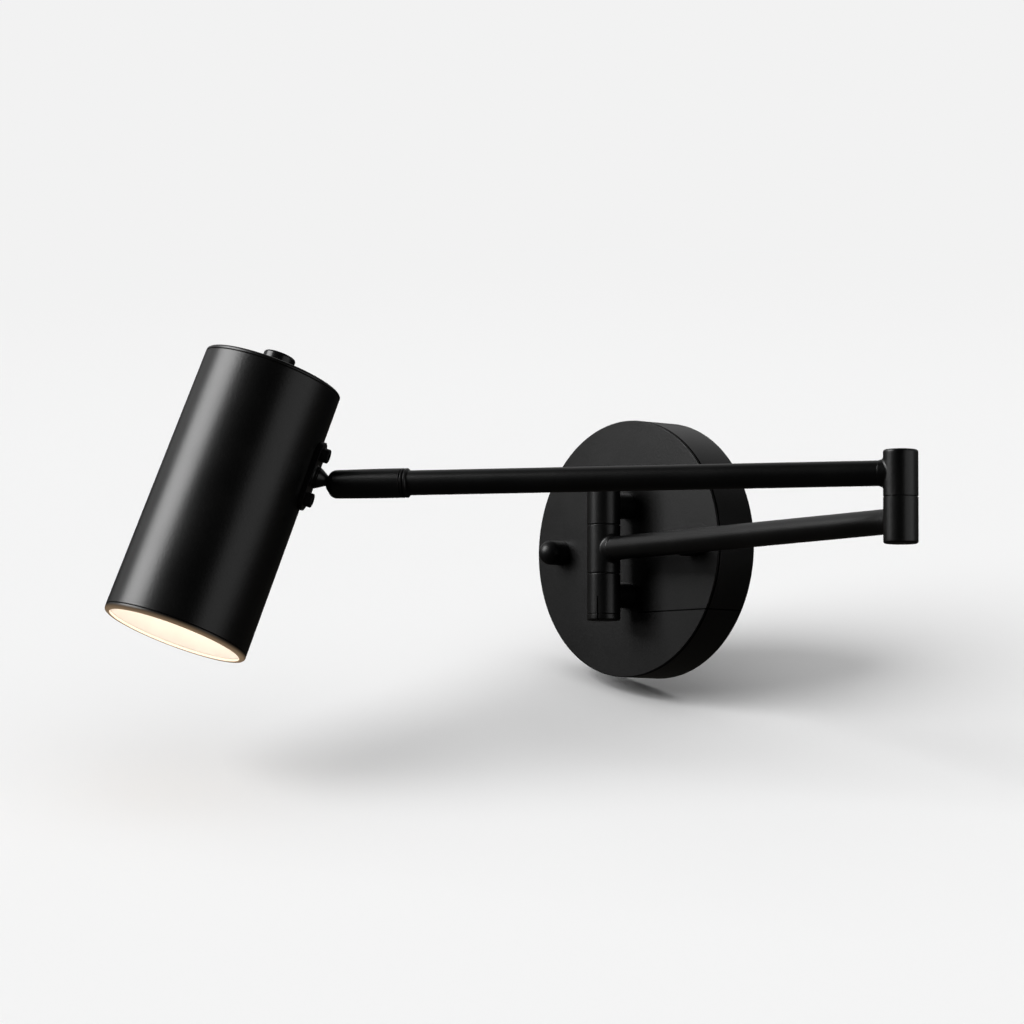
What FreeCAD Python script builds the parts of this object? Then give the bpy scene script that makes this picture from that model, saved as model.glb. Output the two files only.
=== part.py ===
"""Pivoting spotlight wall light: wall plate, two-link arm, ball joint and lit head.

Frame: origin at the centre of the wall plate's back, X along the wall, +Y into the wall,
+Z up. The room lies towards -Y. The light stands in the pose of its picture.
"""
import FreeCAD, Part
import os
import re
from typing import NamedTuple

import Sketcher

# ---------------------------------------------------------------- driving dimensions (mm, degrees)
SIZES = {
    # wall plate: a drum of rim and front plate
    "canopy_od": 130.0,
    "canopy_depth": 25.5,
    "canopy_wall": 1.5,
    "canopy_plate_thickness": 1.25,
    "canopy_edge_chamfer": 0.5,
    "seam_chamfer": 0.3,
    # steel strap on the wall
    "strap_end": 7.5,
    "strap_width": 24.0,
    "strap_thickness": 2.0,
    "slot_spacing": 70.0,
    "slot_width": 5.2,
    "slot_length": 12.0,
    "stud_spacing": 96.0,
    "stud_od": 5.0,
    "cap_nut_od": 12.5,
    "cap_nut_length": 13.5,
    "cap_nut_thread": 9.0,
    "earth_screw_od": 4.0,
    "earth_screw_height": 7.0,
    "earth_screw_head_od": 7.6,
    "earth_screw_head_height": 2.4,
    # driver and terminal block on bosses behind the plate
    "boss_height": 6.3,
    "boss_od": 6.4,
    "small_screw_od": 3.0,
    "small_screw_head_od": 5.6,
    "small_screw_head_height": 2.0,
    "driver_length": 62.0,
    "driver_width": 22.0,
    "driver_height": 15.0,
    "driver_tab_length": 6.0,
    "driver_tab_width": 10.0,
    "driver_tab_thickness": 2.0,
    "driver_rise": 1.0,
    "driver_rim_gap": 1.4,
    "terminal_length": 28.0,
    "terminal_width": 15.0,
    "terminal_height": 12.0,
    "terminal_post_gap": 1.8,
    "terminal_pole_pitch": 10.0,
    "terminal_row_pitch": 8.0,
    "terminal_screw_od": 3.2,
    "terminal_screw_length": 4.0,
    # wall pivot barrel
    "arm_drop": 1.1,
    "pivot_offset": 16.25,
    "barrel_od": 16.8,
    "root_knuckle_height": 24.2,
    "fixed_knuckle_height": 20.2,
    "barrel_cap_height": 3.2,
    "cap_edge_radius": 0.9,
    "knuckle_gap": 0.4,
    "washer_inset": 0.6,
    "post_od": 13.0,
    "nipple_od": 10.0,
    "nipple_bore": 6.4,
    "nipple_depth": 7.0,
    "nipple_tail": 1.0,
    "post_nut_flats": 14.0,
    "post_nut_height": 3.0,
    "post_washer_od": 18.0,
    "post_washer_thickness": 1.0,
    "pivot_od": 8.0,
    "pivot_bore": 5.6,
    "ring_nut_od": 10.4,
    "ring_nut_height": 2.5,
    "running_clearance": 0.04,
    "seat_clearance": 0.05,
    "free_clearance": 0.3,
    "plug_height": 1.5,
    "pivot_flange_height": 1.8,
    # arms
    "lower_arm_length": 243.8,
    "lower_arm_angle": 9.7,
    "fold_angle": 40.9,
    "arm_od": 12.0,
    "arm_wall": 1.0,
    "socket_start": 6.2,
    "collar_od": 13.2,
    "collar_length": 3.0,
    "elbow_od": 16.5,
    "elbow_knuckle_height": 21.8,
    "knuckle_chamfer": 0.6,
    "lead_od": 5.0,
    "lead_passage_od": 5.6,
    # ball joint at the end of the upper arm
    "ball_distance": 275.0,
    "ball_od": 11.2,
    "ball_mouth_od": 10.0,
    "sleeve_od": 14.2,
    "nose_od": 13.7,
    "nose_radius": 4.0,
    "sleeve_length": 36.0,
    "sleeve_ring_length": 3.4,
    "sleeve_ring_groove": 0.5,
    "seat_front": 1.5,
    "seat_back": 9.0,
    "spring_wire_od": 0.9,
    "spring_turns": 3.0,
    "tube_end_behind_ball": 15.0,
    "ball_swivel": 71.5,
    "ball_tilt": 19.6,
    "head_spin": -60.2,
    "neck_od": 5.0,
    "neck_end": 5.2,
    "cone_od": 9.8,
    "stud_flange_height": 0.6,
    "stud_bore": 3.2,
    "spigot_od": 6.0,
    "spigot_nut_od": 9.2,
    "spigot_nut_height": 2.2,
    # bracket on the side of the head
    "bracket_reach": 13.6,
    "bracket_length": 35.0,
    "bracket_width": 14.0,
    "bracket_thickness": 2.0,
    "bracket_boss_od": 10.6,
    "bracket_boss_base_od": 12.6,
    "bracket_boss_height": 1.8,
    "bracket_screw_spacing": 23.0,
    "bracket_screw_od": 3.5,
    "bracket_screw_head_od": 7.0,
    "bracket_screw_head_height": 3.2,
    "bracket_screw_head_chamfer": 0.5,
    "bracket_screw_socket": 3.0,
    "bracket_screw_socket_depth": 1.4,
    "bracket_nut_flats": 5.5,
    "bracket_nut_height": 2.4,
    # head
    "head_top_od": 68.7,
    "head_bottom_od": 71.7,
    "head_length": 132.7,
    "bracket_distance": 40.5,
    "head_wall": 1.4,
    "drill_overrun": 1.0,
    "lid_height": 2.0,
    "lid_edge_radius": 1.2,
    "rim_spigot_height": 5.0,
    "rim_spigot_wall": 0.8,
    "bezel_height": 2.6,
    "bezel_edge_radius": 1.6,
    "bezel_lip_height": 1.4,
    "mouth_od": 66.0,
    "front_ring_depth": 10.4,
    "front_ring_wall": 0.6,
    "front_ring_taper": 0.8,
    "diffuser_thickness": 2.0,
    "reflector_height": 30.0,
    "reflector_wall": 1.0,
    "reflector_neck_od": 26.0,
    "led_board_od": 24.0,
    "led_board_thickness": 1.6,
    "led_chip_od": 11.0,
    "led_chip_height": 1.0,
    "led_screw_spacing": 18.0,
    "led_screw_od": 2.5,
    "led_screw_head_od": 4.4,
    "led_screw_head_height": 1.4,
    "led_screw_length": 5.0,
    "heat_sink_nut_gap": 4.7,
    "heat_sink_base": 6.0,
    "heat_sink_slot": 3.6,
    "heat_sink_pitch": 6.0,
    "heat_sink_gap": 0.4,
    # push button on the lid
    "button_od": 16.0,
    "button_top": 9.5,
    "button_edge_radius": 1.6,
    "button_wall": 1.2,
    "button_gap": 2.7,
    "button_stem_od": 4.0,
    "bushing_od": 11.0,
    "bushing_height": 3.2,
    "switch_nut_od": 12.8,
    "switch_nut_height": 2.0,
    "switch_width": 14.0,
    "switch_height": 20.0,
    "switch_stem_room": 9.0,
}
TERMINAL_POLES = 3
HEAT_SINK_SLOTS = 9

doc = FreeCAD.newDocument("spotlight_wall_light")
NODES = []


def make_sheet():
    """Spreadsheet with one named cell for each driving dimension."""
    sheet = doc.addObject("Spreadsheet::Sheet", "sizes")
    for row, (name, size) in enumerate(SIZES.items(), start=1):
        sheet.set(f"A{row}", name)
        sheet.set(f"B{row}", str(size))
        sheet.setAlias(f"B{row}", name)
    doc.recompute()
    return sheet


sheet = make_sheet()


# ---------------------------------------------------------------- expressions and frames
def expr(text):
    """The expression with each size's name turned into its cell."""
    def cell(word):
        name = word.group()
        return f"sizes.{name}" if name in SIZES else name

    return re.sub(r"[a-z]\w*", cell, text)


def value(text):
    """The number that an expression stands for now."""
    return float(sheet.evalExpression(expr(text)))


def place(x="0", y="0", z="0", yaw="0", pitch="0", roll="0", frame=None):
    """Placement expression, in a frame object's own axes where one is given."""
    own = f"placement(vector({x}; {y}; {z}); rotation({yaw}; {pitch}; {roll}))"
    return f"{frame}.Placement * {own}" if frame else own


def make_frame(name, placement):
    """A named coordinate frame that nodes are placed in."""
    item = doc.addObject("App::Placement", name)
    item.setExpression("Placement", expr(placement))
    return name


def put(item, placement):
    """Bind an object's placement to an expression."""
    item.setExpression("Placement", expr(placement))
    return item


def node(item, label, placement):
    """Name a finished sub-part, place it and list it for writing."""
    item.Label = label
    NODES.append(put(item, placement))
    return item


# ---------------------------------------------------------------- sketched bodies
class Arc(NamedTuple):
    """Arc of under half a circle about centre, from the last corner to end."""

    centre: tuple
    end: tuple


def corner(step):
    """The corner that a step of an outline ends at."""
    return step.end if isinstance(step, Arc) else step


def pin(sketch, index, where, axis, text):
    """Fix one coordinate of a point to an expression."""
    if text == "0":
        sketch.addConstraint(Sketcher.Constraint("PointOnObject", index, where, -2 if axis == "X" else -1))
        return
    kind = f"Distance{axis}"
    number = sketch.addConstraint(Sketcher.Constraint(kind, -1, 1, index, where, value(text)))
    sketch.setExpression(f"Constraints[{number}]", expr(text))


def vector(point):
    """Sketch point as numbers."""
    return FreeCAD.Vector(value(point[0]), value(point[1]), 0)


def bearing(point, centre):
    """Angle of a point about a centre, from the X axis."""
    side = 1 if point.y >= centre.y else -1
    return (point - centre).getAngle(FreeCAD.Vector(1, 0, 0)) * side


def draw_loop(sketch, outline):
    """Closed loop through an outline's corners, each bound to the sheet."""
    ends = []
    count = len(outline)
    for number, step in enumerate(outline):
        following = outline[(number + 1) % count]
        start, end = vector(corner(step)), vector(corner(following))
        if isinstance(following, Arc):
            centre = vector(following.centre)
            turn = (start - centre).cross(end - centre).z
            first, last = (start, end) if turn > 0 else (end, start)
            circle = Part.Circle(centre, FreeCAD.Vector(0, 0, 1), (start - centre).Length)
            arc = Part.ArcOfCircle(circle, bearing(first, centre), bearing(last, centre))
            index = sketch.addGeometry(arc, False)
            ends.append((index, 1, 2) if turn > 0 else (index, 2, 1))
        else:
            index = sketch.addGeometry(Part.LineSegment(start, end), False)
            ends.append((index, 1, 2))
    for number, (index, begins, _) in enumerate(ends):
        before, _, finishes = ends[number - 1]
        sketch.addConstraint(Sketcher.Constraint("Coincident", before, finishes, index, begins))
        for axis, text in zip("XY", corner(outline[number])):
            pin(sketch, index, begins, axis, text)
        following = outline[(number + 1) % count]
        if isinstance(following, Arc):
            pin(sketch, index, 3, "X", following.centre[0])


def draw_hole(sketch, x, y, diameter):
    """Circle bound to the sheet."""
    circle = Part.Circle(vector((x, y)), FreeCAD.Vector(0, 0, 1), value(diameter) / 2)
    index = sketch.addGeometry(circle, False)
    for axis, text in zip("XY", (x, y)):
        pin(sketch, index, 3, axis, text)
    number = sketch.addConstraint(Sketcher.Constraint("Diameter", index, value(diameter)))
    sketch.setExpression(f"Constraints[{number}]", expr(diameter))


def sketch_in(body, role):
    """Sketch attached to one of the body's own origin planes."""
    sketch = body.newObject("Sketcher::SketchObject", f"{body.Name}_outline")
    plane = next(feature for feature in body.Origin.OriginFeatures if feature.Role == role)
    sketch.AttachmentSupport = (plane, [""])
    sketch.MapMode = "FlatFace"
    return sketch


def turned(name, outline):
    """Body turned about its own Z from an outline of (radius, height) corners."""
    body = doc.addObject("PartDesign::Body", name)
    sketch = sketch_in(body, "XZ_Plane")
    draw_loop(sketch, outline)
    turn = body.newObject("PartDesign::Revolution", f"{name}_turn")
    turn.Profile = sketch
    turn.ReferenceAxis = (sketch, ["V_Axis"])
    turn.Angle = 360
    body.Tip = turn
    return body


def pressed(name, loops, holes, thickness):
    """Body of flat stock: loops and round holes in XY, thickness along +Z."""
    body = doc.addObject("PartDesign::Body", name)
    sketch = sketch_in(body, "XY_Plane")
    for loop in loops:
        draw_loop(sketch, loop)
    for hole in holes:
        draw_hole(sketch, *hole)
    pad = body.newObject("PartDesign::Pad", f"{name}_pad")
    pad.Profile = sketch
    pad.setExpression("Length", expr(thickness))
    body.Tip = pad
    return body


def rectangle(length, width, x="0", y="0"):
    """Rectangle about a centre."""
    left, right = f"{x} - ({length}) / 2", f"{x} + ({length}) / 2"
    low, high = f"{y} - ({width}) / 2", f"{y} + ({width}) / 2"
    return [(left, low), (right, low), (right, high), (left, high)]


def slot(length, width, x="0"):
    """Slot with round ends, along X about a centre on the X axis."""
    reach, radius = f"(({length}) - ({width})) / 2", f"({width}) / 2"
    left, right = f"{x} - {reach}", f"{x} + {reach}"
    return [
        Arc((left, "0"), (left, f"-{radius}")),
        (right, f"-{radius}"),
        Arc((right, "0"), (f"{right} + {radius}", "0")),
        Arc((right, "0"), (right, radius)),
        (left, radius),
        Arc((left, "0"), (f"{left} - {radius}", "0")),
    ]


# ---------------------------------------------------------------- primitives and booleans
def cylinder(name, diameter, length, placement=None):
    """Cylinder along its own Z."""
    item = doc.addObject("Part::Cylinder", name)
    item.setExpression("Radius", expr(f"({diameter}) / 2"))
    item.setExpression("Height", expr(length))
    return put(item, placement) if placement else item


def box(name, length, width, height, placement):
    """Box with its corner at the placement."""
    item = doc.addObject("Part::Box", name)
    for side, text in zip(("Length", "Width", "Height"), (length, width, height)):
        item.setExpression(side, expr(text))
    return put(item, placement)


def hexagon(name, flats, height, placement=None):
    """Hexagonal prism along its own Z, by its width across flats."""
    item = doc.addObject("Part::Prism", name)
    item.Polygon = 6
    item.setExpression("Circumradius", expr(f"({flats}) / sqrt(3)"))
    item.setExpression("Height", expr(height))
    return put(item, placement) if placement else item


def fuse(name, items):
    """Union of several shapes."""
    item = doc.addObject("Part::MultiFuse", name)
    item.Shapes = items
    return item


def cut(name, base, tools):
    """Base with every tool taken away."""
    item = doc.addObject("Part::Cut", name)
    item.Base = base
    item.Tool = tools[0] if len(tools) == 1 else fuse(f"{name}_tools", tools)
    return item


def group(name, items):
    """Identical fasteners as one node of separate solids."""
    item = doc.addObject("Part::Compound", name)
    item.Links = items
    return item


def ring(name, bore, outer, height):
    """Plain ring on its own Z."""
    inside, outside = f"{bore} / 2", f"{outer} / 2"
    return turned(name, [(inside, "0"), (outside, "0"), (outside, height), (inside, height)])


def both_sides(name, make):
    """Two copies of one fastener, made by make(name, sign) at the + and - side."""
    return group(name, [make(f"{name}_{word}", sign) for word, sign in (("one", "1"), ("two", "-1"))])


# ---------------------------------------------------------------- shared expressions
FACE = "canopy_depth"
PLATE_BACK = "(canopy_depth - canopy_plate_thickness)"
STRAP_LENGTH = "(stud_spacing + 2 * strap_end)"
FIXED_START = "(root_knuckle_height / 2 + knuckle_gap)"
POST_REACH = "(root_knuckle_height / 2 + knuckle_gap + fixed_knuckle_height / 2)"
RIM_OVER_DRIVER = "sqrt((canopy_od / 2 - canopy_wall) ^ 2 - (driver_length / 2) ^ 2)"
DRIVER_HEIGHT = f"({RIM_OVER_DRIVER} - driver_width / 2 - driver_rim_gap)"
DRIVER_BOSS_X = "(driver_length / 2 + driver_tab_length / 2)"
TERMINAL_DROP = f"({POST_REACH} + arm_drop + post_washer_od / 2 + terminal_post_gap + terminal_width / 2)"
RING_NUT_ROOM = "(ring_nut_height + free_clearance + plug_height)"
FLANGE_ROOM = "(pivot_flange_height + free_clearance + plug_height)"
COUNTERBORE_OD = "(ring_nut_od + 2 * free_clearance)"
WASHER_BORE = "(pivot_od + 2 * free_clearance)"
KNUCKLE_PITCH = "(elbow_knuckle_height + knuckle_gap)"
CAVITY_R = "(ball_od / 2 + seat_clearance)"
MOUTH_PLANE = f"sqrt({CAVITY_R} ^ 2 - (ball_mouth_od / 2) ^ 2)"
NOSE_CENTRE_R = "(nose_od / 2 - nose_radius)"
NOSE_TIP = f"sqrt(nose_radius ^ 2 - (ball_mouth_od / 2 - {NOSE_CENTRE_R}) ^ 2)"
HEAD_TAPER = "((head_bottom_od - head_top_od) / 2 / head_length)"
TAPER_SIZE = f"abs({HEAD_TAPER})"
HEAD_GROWTH = f"({HEAD_TAPER} * bracket_distance + {TAPER_SIZE} * bracket_length / 2)"
HEAD_AXIS_X = f"(bracket_reach + head_top_od / 2 + {HEAD_GROWTH})"
BEZEL_DROP = "(head_length - bracket_distance + bezel_height)"
BOTTOM_INSIDE_R = "(head_bottom_od / 2 - head_wall)"
TOP_INSIDE_R = "(head_top_od / 2 - head_wall)"
DIFFUSER_BACK = "(bezel_lip_height + front_ring_depth + diffuser_thickness)"
LED_LEVEL = f"({DIFFUSER_BACK} + reflector_height)"
HEAT_SINK_LEVEL = f"({LED_LEVEL} + led_board_thickness)"
LOW_NUT_LEVEL = f"({BEZEL_DROP} - bracket_screw_spacing / 2 - bracket_nut_flats / sqrt(3))"
HEAT_SINK_HEIGHT = f"({LOW_NUT_LEVEL} - heat_sink_nut_gap - {HEAT_SINK_LEVEL})"
BEZEL_SPIGOT_R = f"({BOTTOM_INSIDE_R} - max(0; {HEAD_TAPER}) * rim_spigot_height - seat_clearance)"
LID_SPIGOT_R = f"({TOP_INSIDE_R} - max(0; -{HEAD_TAPER}) * rim_spigot_height - seat_clearance)"
FRONT_RING_R = f"({BEZEL_SPIGOT_R} - rim_spigot_wall - seat_clearance)"
STUD_FACE = "(bracket_reach - bracket_thickness - bracket_boss_height)"
NUT_BULGE = "((spigot_nut_od / 2) ^ 2 / (head_top_od - 2 * head_wall))"
NUT_DEPTH = f"(head_wall + {TAPER_SIZE} * bracket_length + {NUT_BULGE} + seat_clearance)"
NUT_FLOOR = f"(bracket_reach + {NUT_DEPTH})"

WALL = make_frame("wall_frame", place(roll="90"))
PIVOT = make_frame("pivot_frame", place(y=f"-({FACE} + pivot_offset)", z="-arm_drop"))
LOWER = make_frame("lower_arm_frame", place(yaw="-lower_arm_angle", frame=PIVOT))
ELBOW = make_frame("elbow_frame", place(x="lower_arm_length", frame=LOWER))
UPPER = make_frame("upper_arm_frame", place(z=KNUCKLE_PITCH, yaw="180 + fold_angle", frame=ELBOW))
BALL = make_frame("ball_frame", place(x="ball_distance", frame=UPPER))
TILTED = make_frame("tilted_frame", f"{place(roll='ball_swivel', frame=BALL)} * {place(yaw='ball_tilt')}")
HEAD = make_frame("head_frame", place(roll="head_spin", frame=TILTED))
MOUTH = make_frame("mouth_frame", place(x=HEAD_AXIS_X, z=f"-{BEZEL_DROP}", frame=HEAD))
LID = make_frame("lid_frame", place(z="bezel_height + head_length + lid_height", frame=MOUTH))


# ---------------------------------------------------------------- wall plate
def build_strap():
    """Steel strap on the wall with its studs, cap nuts and earth screw."""
    holes = [(f"{side}stud_spacing / 2", "0", "stud_od") for side in ("", "-")]
    holes.append(("0", "earth_screw_height", "earth_screw_od"))
    slots = [slot("slot_length", "slot_width", f"{side}slot_spacing / 2") for side in ("", "-")]
    strap = pressed("strap", [rectangle(STRAP_LENGTH, "strap_width"), *slots], holes, "strap_thickness")
    node(strap, "wall_strap", place(frame=WALL))

    def stud(name, side):
        length = f"{FACE} + cap_nut_thread - seat_clearance"
        return cylinder(name, "stud_od", length, place(x=f"{side} * stud_spacing / 2"))

    node(both_sides("studs", stud), "strap_studs", place(frame=WALL))

    def cap_nut(name, side):
        dome = "cap_nut_od / 2"
        outline = [
            ("stud_od / 2", "0"),
            (dome, "0"),
            (dome, f"cap_nut_length - {dome}"),
            Arc(("0", f"cap_nut_length - {dome}"), ("0", "cap_nut_length")),
            ("0", "cap_nut_thread"),
            ("stud_od / 2", "cap_nut_thread"),
        ]
        return put(turned(name, outline), place(x=f"{side} * stud_spacing / 2"))

    node(both_sides("domes", cap_nut), "cap_nuts", place(z=FACE, frame=WALL))

    head = "earth_screw_head_od / 2"
    top = "strap_thickness + earth_screw_head_height"
    outline = [
        ("0", "0"),
        ("earth_screw_od / 2", "0"),
        ("earth_screw_od / 2", "strap_thickness"),
        (head, "strap_thickness"),
        (head, top),
        ("0", top),
    ]
    node(turned("earth", outline), "earth_screw", place(y="earth_screw_height", frame=WALL))


def boss_places():
    """Centres of the driver's bosses and of the terminal block's boss on the plate's back."""
    driver = [(f"{side}{DRIVER_BOSS_X}", DRIVER_HEIGHT) for side in ("", "-")]
    return [*driver, ("0", f"-{TERMINAL_DROP}")]


def build_canopy():
    """Drum of the wall plate: rim, and front plate with its bosses."""
    outer, inner = "canopy_od / 2", "canopy_od / 2 - canopy_wall"
    rim = [
        (inner, "0"),
        (outer, "0"),
        (outer, f"{PLATE_BACK} - seam_chamfer"),
        (f"{outer} - seam_chamfer", PLATE_BACK),
        (inner, PLATE_BACK),
    ]
    node(turned("rim", rim), "canopy_rim", place(frame=WALL))

    plate = turned("plate_disc", [
        ("0", "0"),
        (f"{outer} - seam_chamfer", "0"),
        (outer, "seam_chamfer"),
        (outer, "canopy_plate_thickness - canopy_edge_chamfer"),
        (f"{outer} - canopy_edge_chamfer", "canopy_plate_thickness"),
        ("0", "canopy_plate_thickness"),
    ])
    bosses = [
        cylinder(f"boss_{number}", "boss_od", "boss_height", place(x=x, y=y, z="-boss_height"))
        for number, (x, y) in enumerate(boss_places())
    ]
    drills = [
        cylinder(f"boss_drill_{number}", "small_screw_od", "boss_height", place(x=x, y=y, z="-boss_height"))
        for number, (x, y) in enumerate(boss_places())
    ]
    through = [("stud_spacing / 2", "0", "stud_od"), ("-stud_spacing / 2", "0", "stud_od")]
    through += [("0", f"{side}{POST_REACH} - arm_drop", "nipple_od") for side in ("", "-")]
    drills += [
        cylinder(f"plate_drill_{number}", size, "canopy_plate_thickness", place(x=x, y=y))
        for number, (x, y, size) in enumerate(through)
    ]
    blank = fuse("plate_blank", [plate, *bosses])
    node(cut("plate", blank, drills), "canopy_plate", place(z=PLATE_BACK, frame=WALL))


def small_screw(name, shank):
    """Small pan-head screw: head from Z 0, shank above it."""
    head = "small_screw_head_height"
    return turned(name, [
        ("0", "0"),
        ("small_screw_head_od / 2", "0"),
        ("small_screw_head_od / 2", head),
        ("small_screw_od / 2", head),
        ("small_screw_od / 2", f"{head} + {shank}"),
        ("0", f"{head} + {shank}"),
    ])


def build_electrics():
    """LED driver and terminal block, each on the plate's bosses."""
    boss_face = f"({PLATE_BACK} - boss_height)"
    reach = DRIVER_BOSS_X
    body = pressed("driver_body", [rectangle("driver_length", "driver_width")], [], "driver_height")
    tabs = pressed(
        "driver_tabs",
        [rectangle("driver_length + 2 * driver_tab_length", "driver_tab_width")],
        [(reach, "0", "small_screw_od"), (f"-{reach}", "0", "small_screw_od")],
        "driver_tab_thickness",
    )
    put(tabs, place(z="driver_height - driver_tab_thickness - driver_rise"))
    driver_z = f"{boss_face} - driver_height + driver_rise"
    driver_at = place(y=DRIVER_HEIGHT, z=driver_z, frame=WALL)
    node(fuse("driver", [body, tabs]), "led_driver", driver_at)

    def driver_screw(name, side):
        screw = small_screw(name, "(driver_tab_thickness + boss_height - seat_clearance)")
        return put(screw, place(x=f"{side} * {reach}"))

    head_z = f"{boss_face} - driver_tab_thickness - small_screw_head_height"
    screws_at = place(y=DRIVER_HEIGHT, z=head_z, frame=WALL)
    node(both_sides("driver_pair", driver_screw), "driver_screws", screws_at)

    poles = []
    for column in range(TERMINAL_POLES):
        across = f"{column - (TERMINAL_POLES - 1) / 2} * terminal_pole_pitch"
        poles += [(across, f"{side}terminal_row_pitch / 2") for side in ("", "-")]
    holes = [(x, y, "terminal_screw_od") for x, y in poles]
    block = pressed("block", [rectangle("terminal_length", "terminal_width")], holes, "terminal_height")
    well = cylinder("block_drill", "small_screw_od", "terminal_height")
    block_at = place(y=f"-{TERMINAL_DROP}", z=f"{boss_face} - terminal_height", frame=WALL)
    node(cut("block_body", block, [well]), "terminal_block", block_at)
    heads = [
        cylinder(f"pole_{number}", "terminal_screw_od", "terminal_screw_length", place(x=x, y=y))
        for number, (x, y) in enumerate(poles)
    ]
    node(group("poles", heads), "terminal_screws", block_at)
    screw = small_screw("block_screw_body", "(terminal_height + boss_height - seat_clearance)")
    screw_z = f"{boss_face} - terminal_height - small_screw_head_height"
    node(screw, "terminal_block_screw", place(y=f"-{TERMINAL_DROP}", z=screw_z, frame=WALL))


# ---------------------------------------------------------------- wall pivot
def pipe_along(name, diameter, start, end, yaw="0"):
    """Cylinder lying along local X turned by yaw, from start to end."""
    at = f"{place(yaw=yaw)} * {place(x=start, pitch='90')}"
    return cylinder(name, diameter, f"({end}) - ({start})", at)


def build_fixed_knuckle(label, pitch):
    """Cast knuckle on its post; pitch turns it over for the lower side."""
    radius = "barrel_od / 2"
    knuckle = turned(f"{label}_blank", [
        ("0", "0"),
        (f"{radius} - seam_chamfer", "0"),
        (radius, "seam_chamfer"),
        (radius, "fixed_knuckle_height - seam_chamfer"),
        (f"{radius} - seam_chamfer", "fixed_knuckle_height"),
        ("0", "fixed_knuckle_height"),
    ])
    middle = "fixed_knuckle_height / 2"
    post_at = place(z=middle, roll="-90")
    post = cylinder(f"{label}_post", "post_od", "pivot_offset", post_at)
    bore = cylinder(f"{label}_bore", "pivot_od", "fixed_knuckle_height")
    room_at = place(z=f"fixed_knuckle_height - {RING_NUT_ROOM}")
    room = cylinder(f"{label}_room", COUNTERBORE_OD, RING_NUT_ROOM, room_at)
    socket_at = place(y="pivot_offset - nipple_depth", z=middle, roll="-90")
    socket = cylinder(f"{label}_socket", "nipple_od", "nipple_depth", socket_at)
    lead = cylinder(f"{label}_lead", "lead_passage_od", "pivot_offset", post_at)
    blank = fuse(f"{label}_casting", [knuckle, post])
    body = cut(label, blank, [bore, room, socket, lead])
    node(body, label, f"{place(pitch=pitch, frame=PIVOT)} * {place(z=FIXED_START)}")


def build_post_fastening():
    """Hollow nipples, washers and nuts that clamp the two posts to the plate."""
    nipple_start = f"({PLATE_BACK} - post_washer_thickness - post_nut_height - nipple_tail)"
    washer_z = f"{PLATE_BACK} - post_washer_thickness"

    def at_post(item, side, height):
        return put(item, place(y=f"{side} * {POST_REACH} - arm_drop", z=height))

    def nipple(name, side):
        length = f"{FACE} + nipple_depth - seat_clearance - {nipple_start}"
        return at_post(ring(name, "nipple_bore", "nipple_od", length), side, nipple_start)

    def washer(name, side):
        return at_post(ring(name, "nipple_od", "post_washer_od", "post_washer_thickness"), side, washer_z)

    def nut(name, side):
        blank = hexagon(f"{name}_hex", "post_nut_flats", "post_nut_height")
        hole = cylinder(f"{name}_hole", "nipple_od", "post_nut_height")
        return at_post(cut(name, blank, [hole]), side, f"{washer_z} - post_nut_height")

    node(both_sides("nipples", nipple), "post_nipples", place(frame=WALL))
    node(both_sides("clamp_washers", washer), "post_washers", place(frame=WALL))
    node(both_sides("clamp_nuts", nut), "post_nuts", place(frame=WALL))


def build_wall_pivot():
    """Hollow pin, ring nuts, washers and end caps of the barrel."""
    reach = f"({FIXED_START} + fixed_knuckle_height - {RING_NUT_ROOM} + ring_nut_height)"
    pin_body = ring("pin", "pivot_bore", "pivot_od", f"2 * {reach}")
    node(pin_body, "wall_pivot", place(z=f"-{reach}", frame=PIVOT))

    def mirrored(item, side, height):
        return put(item, f"{place(pitch=f'90 - 90 * {side}')} * {place(z=height)}")

    def ring_nut(name, side):
        item = ring(name, "pivot_od", "ring_nut_od", "ring_nut_height")
        return mirrored(item, side, f"{reach} - ring_nut_height")

    def washer(name, side):
        item = ring(name, WASHER_BORE, "(barrel_od - 2 * washer_inset)", "knuckle_gap")
        return mirrored(item, side, "root_knuckle_height / 2")

    def cap(name, side):
        plug = f"{COUNTERBORE_OD} / 2 - seat_clearance"
        outer = "barrel_od / 2"
        outline = [
            ("0", "-plug_height"),
            (plug, "-plug_height"),
            (plug, "0"),
            (f"{outer} - seam_chamfer", "0"),
            (outer, "seam_chamfer"),
            (outer, "barrel_cap_height - cap_edge_radius"),
            Arc(
                (f"{outer} - cap_edge_radius", "barrel_cap_height - cap_edge_radius"),
                (f"{outer} - cap_edge_radius", "barrel_cap_height"),
            ),
            ("0", "barrel_cap_height"),
        ]
        return mirrored(turned(name, outline), side, f"{FIXED_START} + fixed_knuckle_height")

    node(both_sides("ring_nuts", ring_nut), "wall_pivot_nuts", place(frame=PIVOT))
    node(both_sides("seam_washers", washer), "barrel_washers", place(frame=PIVOT))
    node(both_sides("end_caps", cap), "barrel_caps", place(frame=PIVOT))


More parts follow.
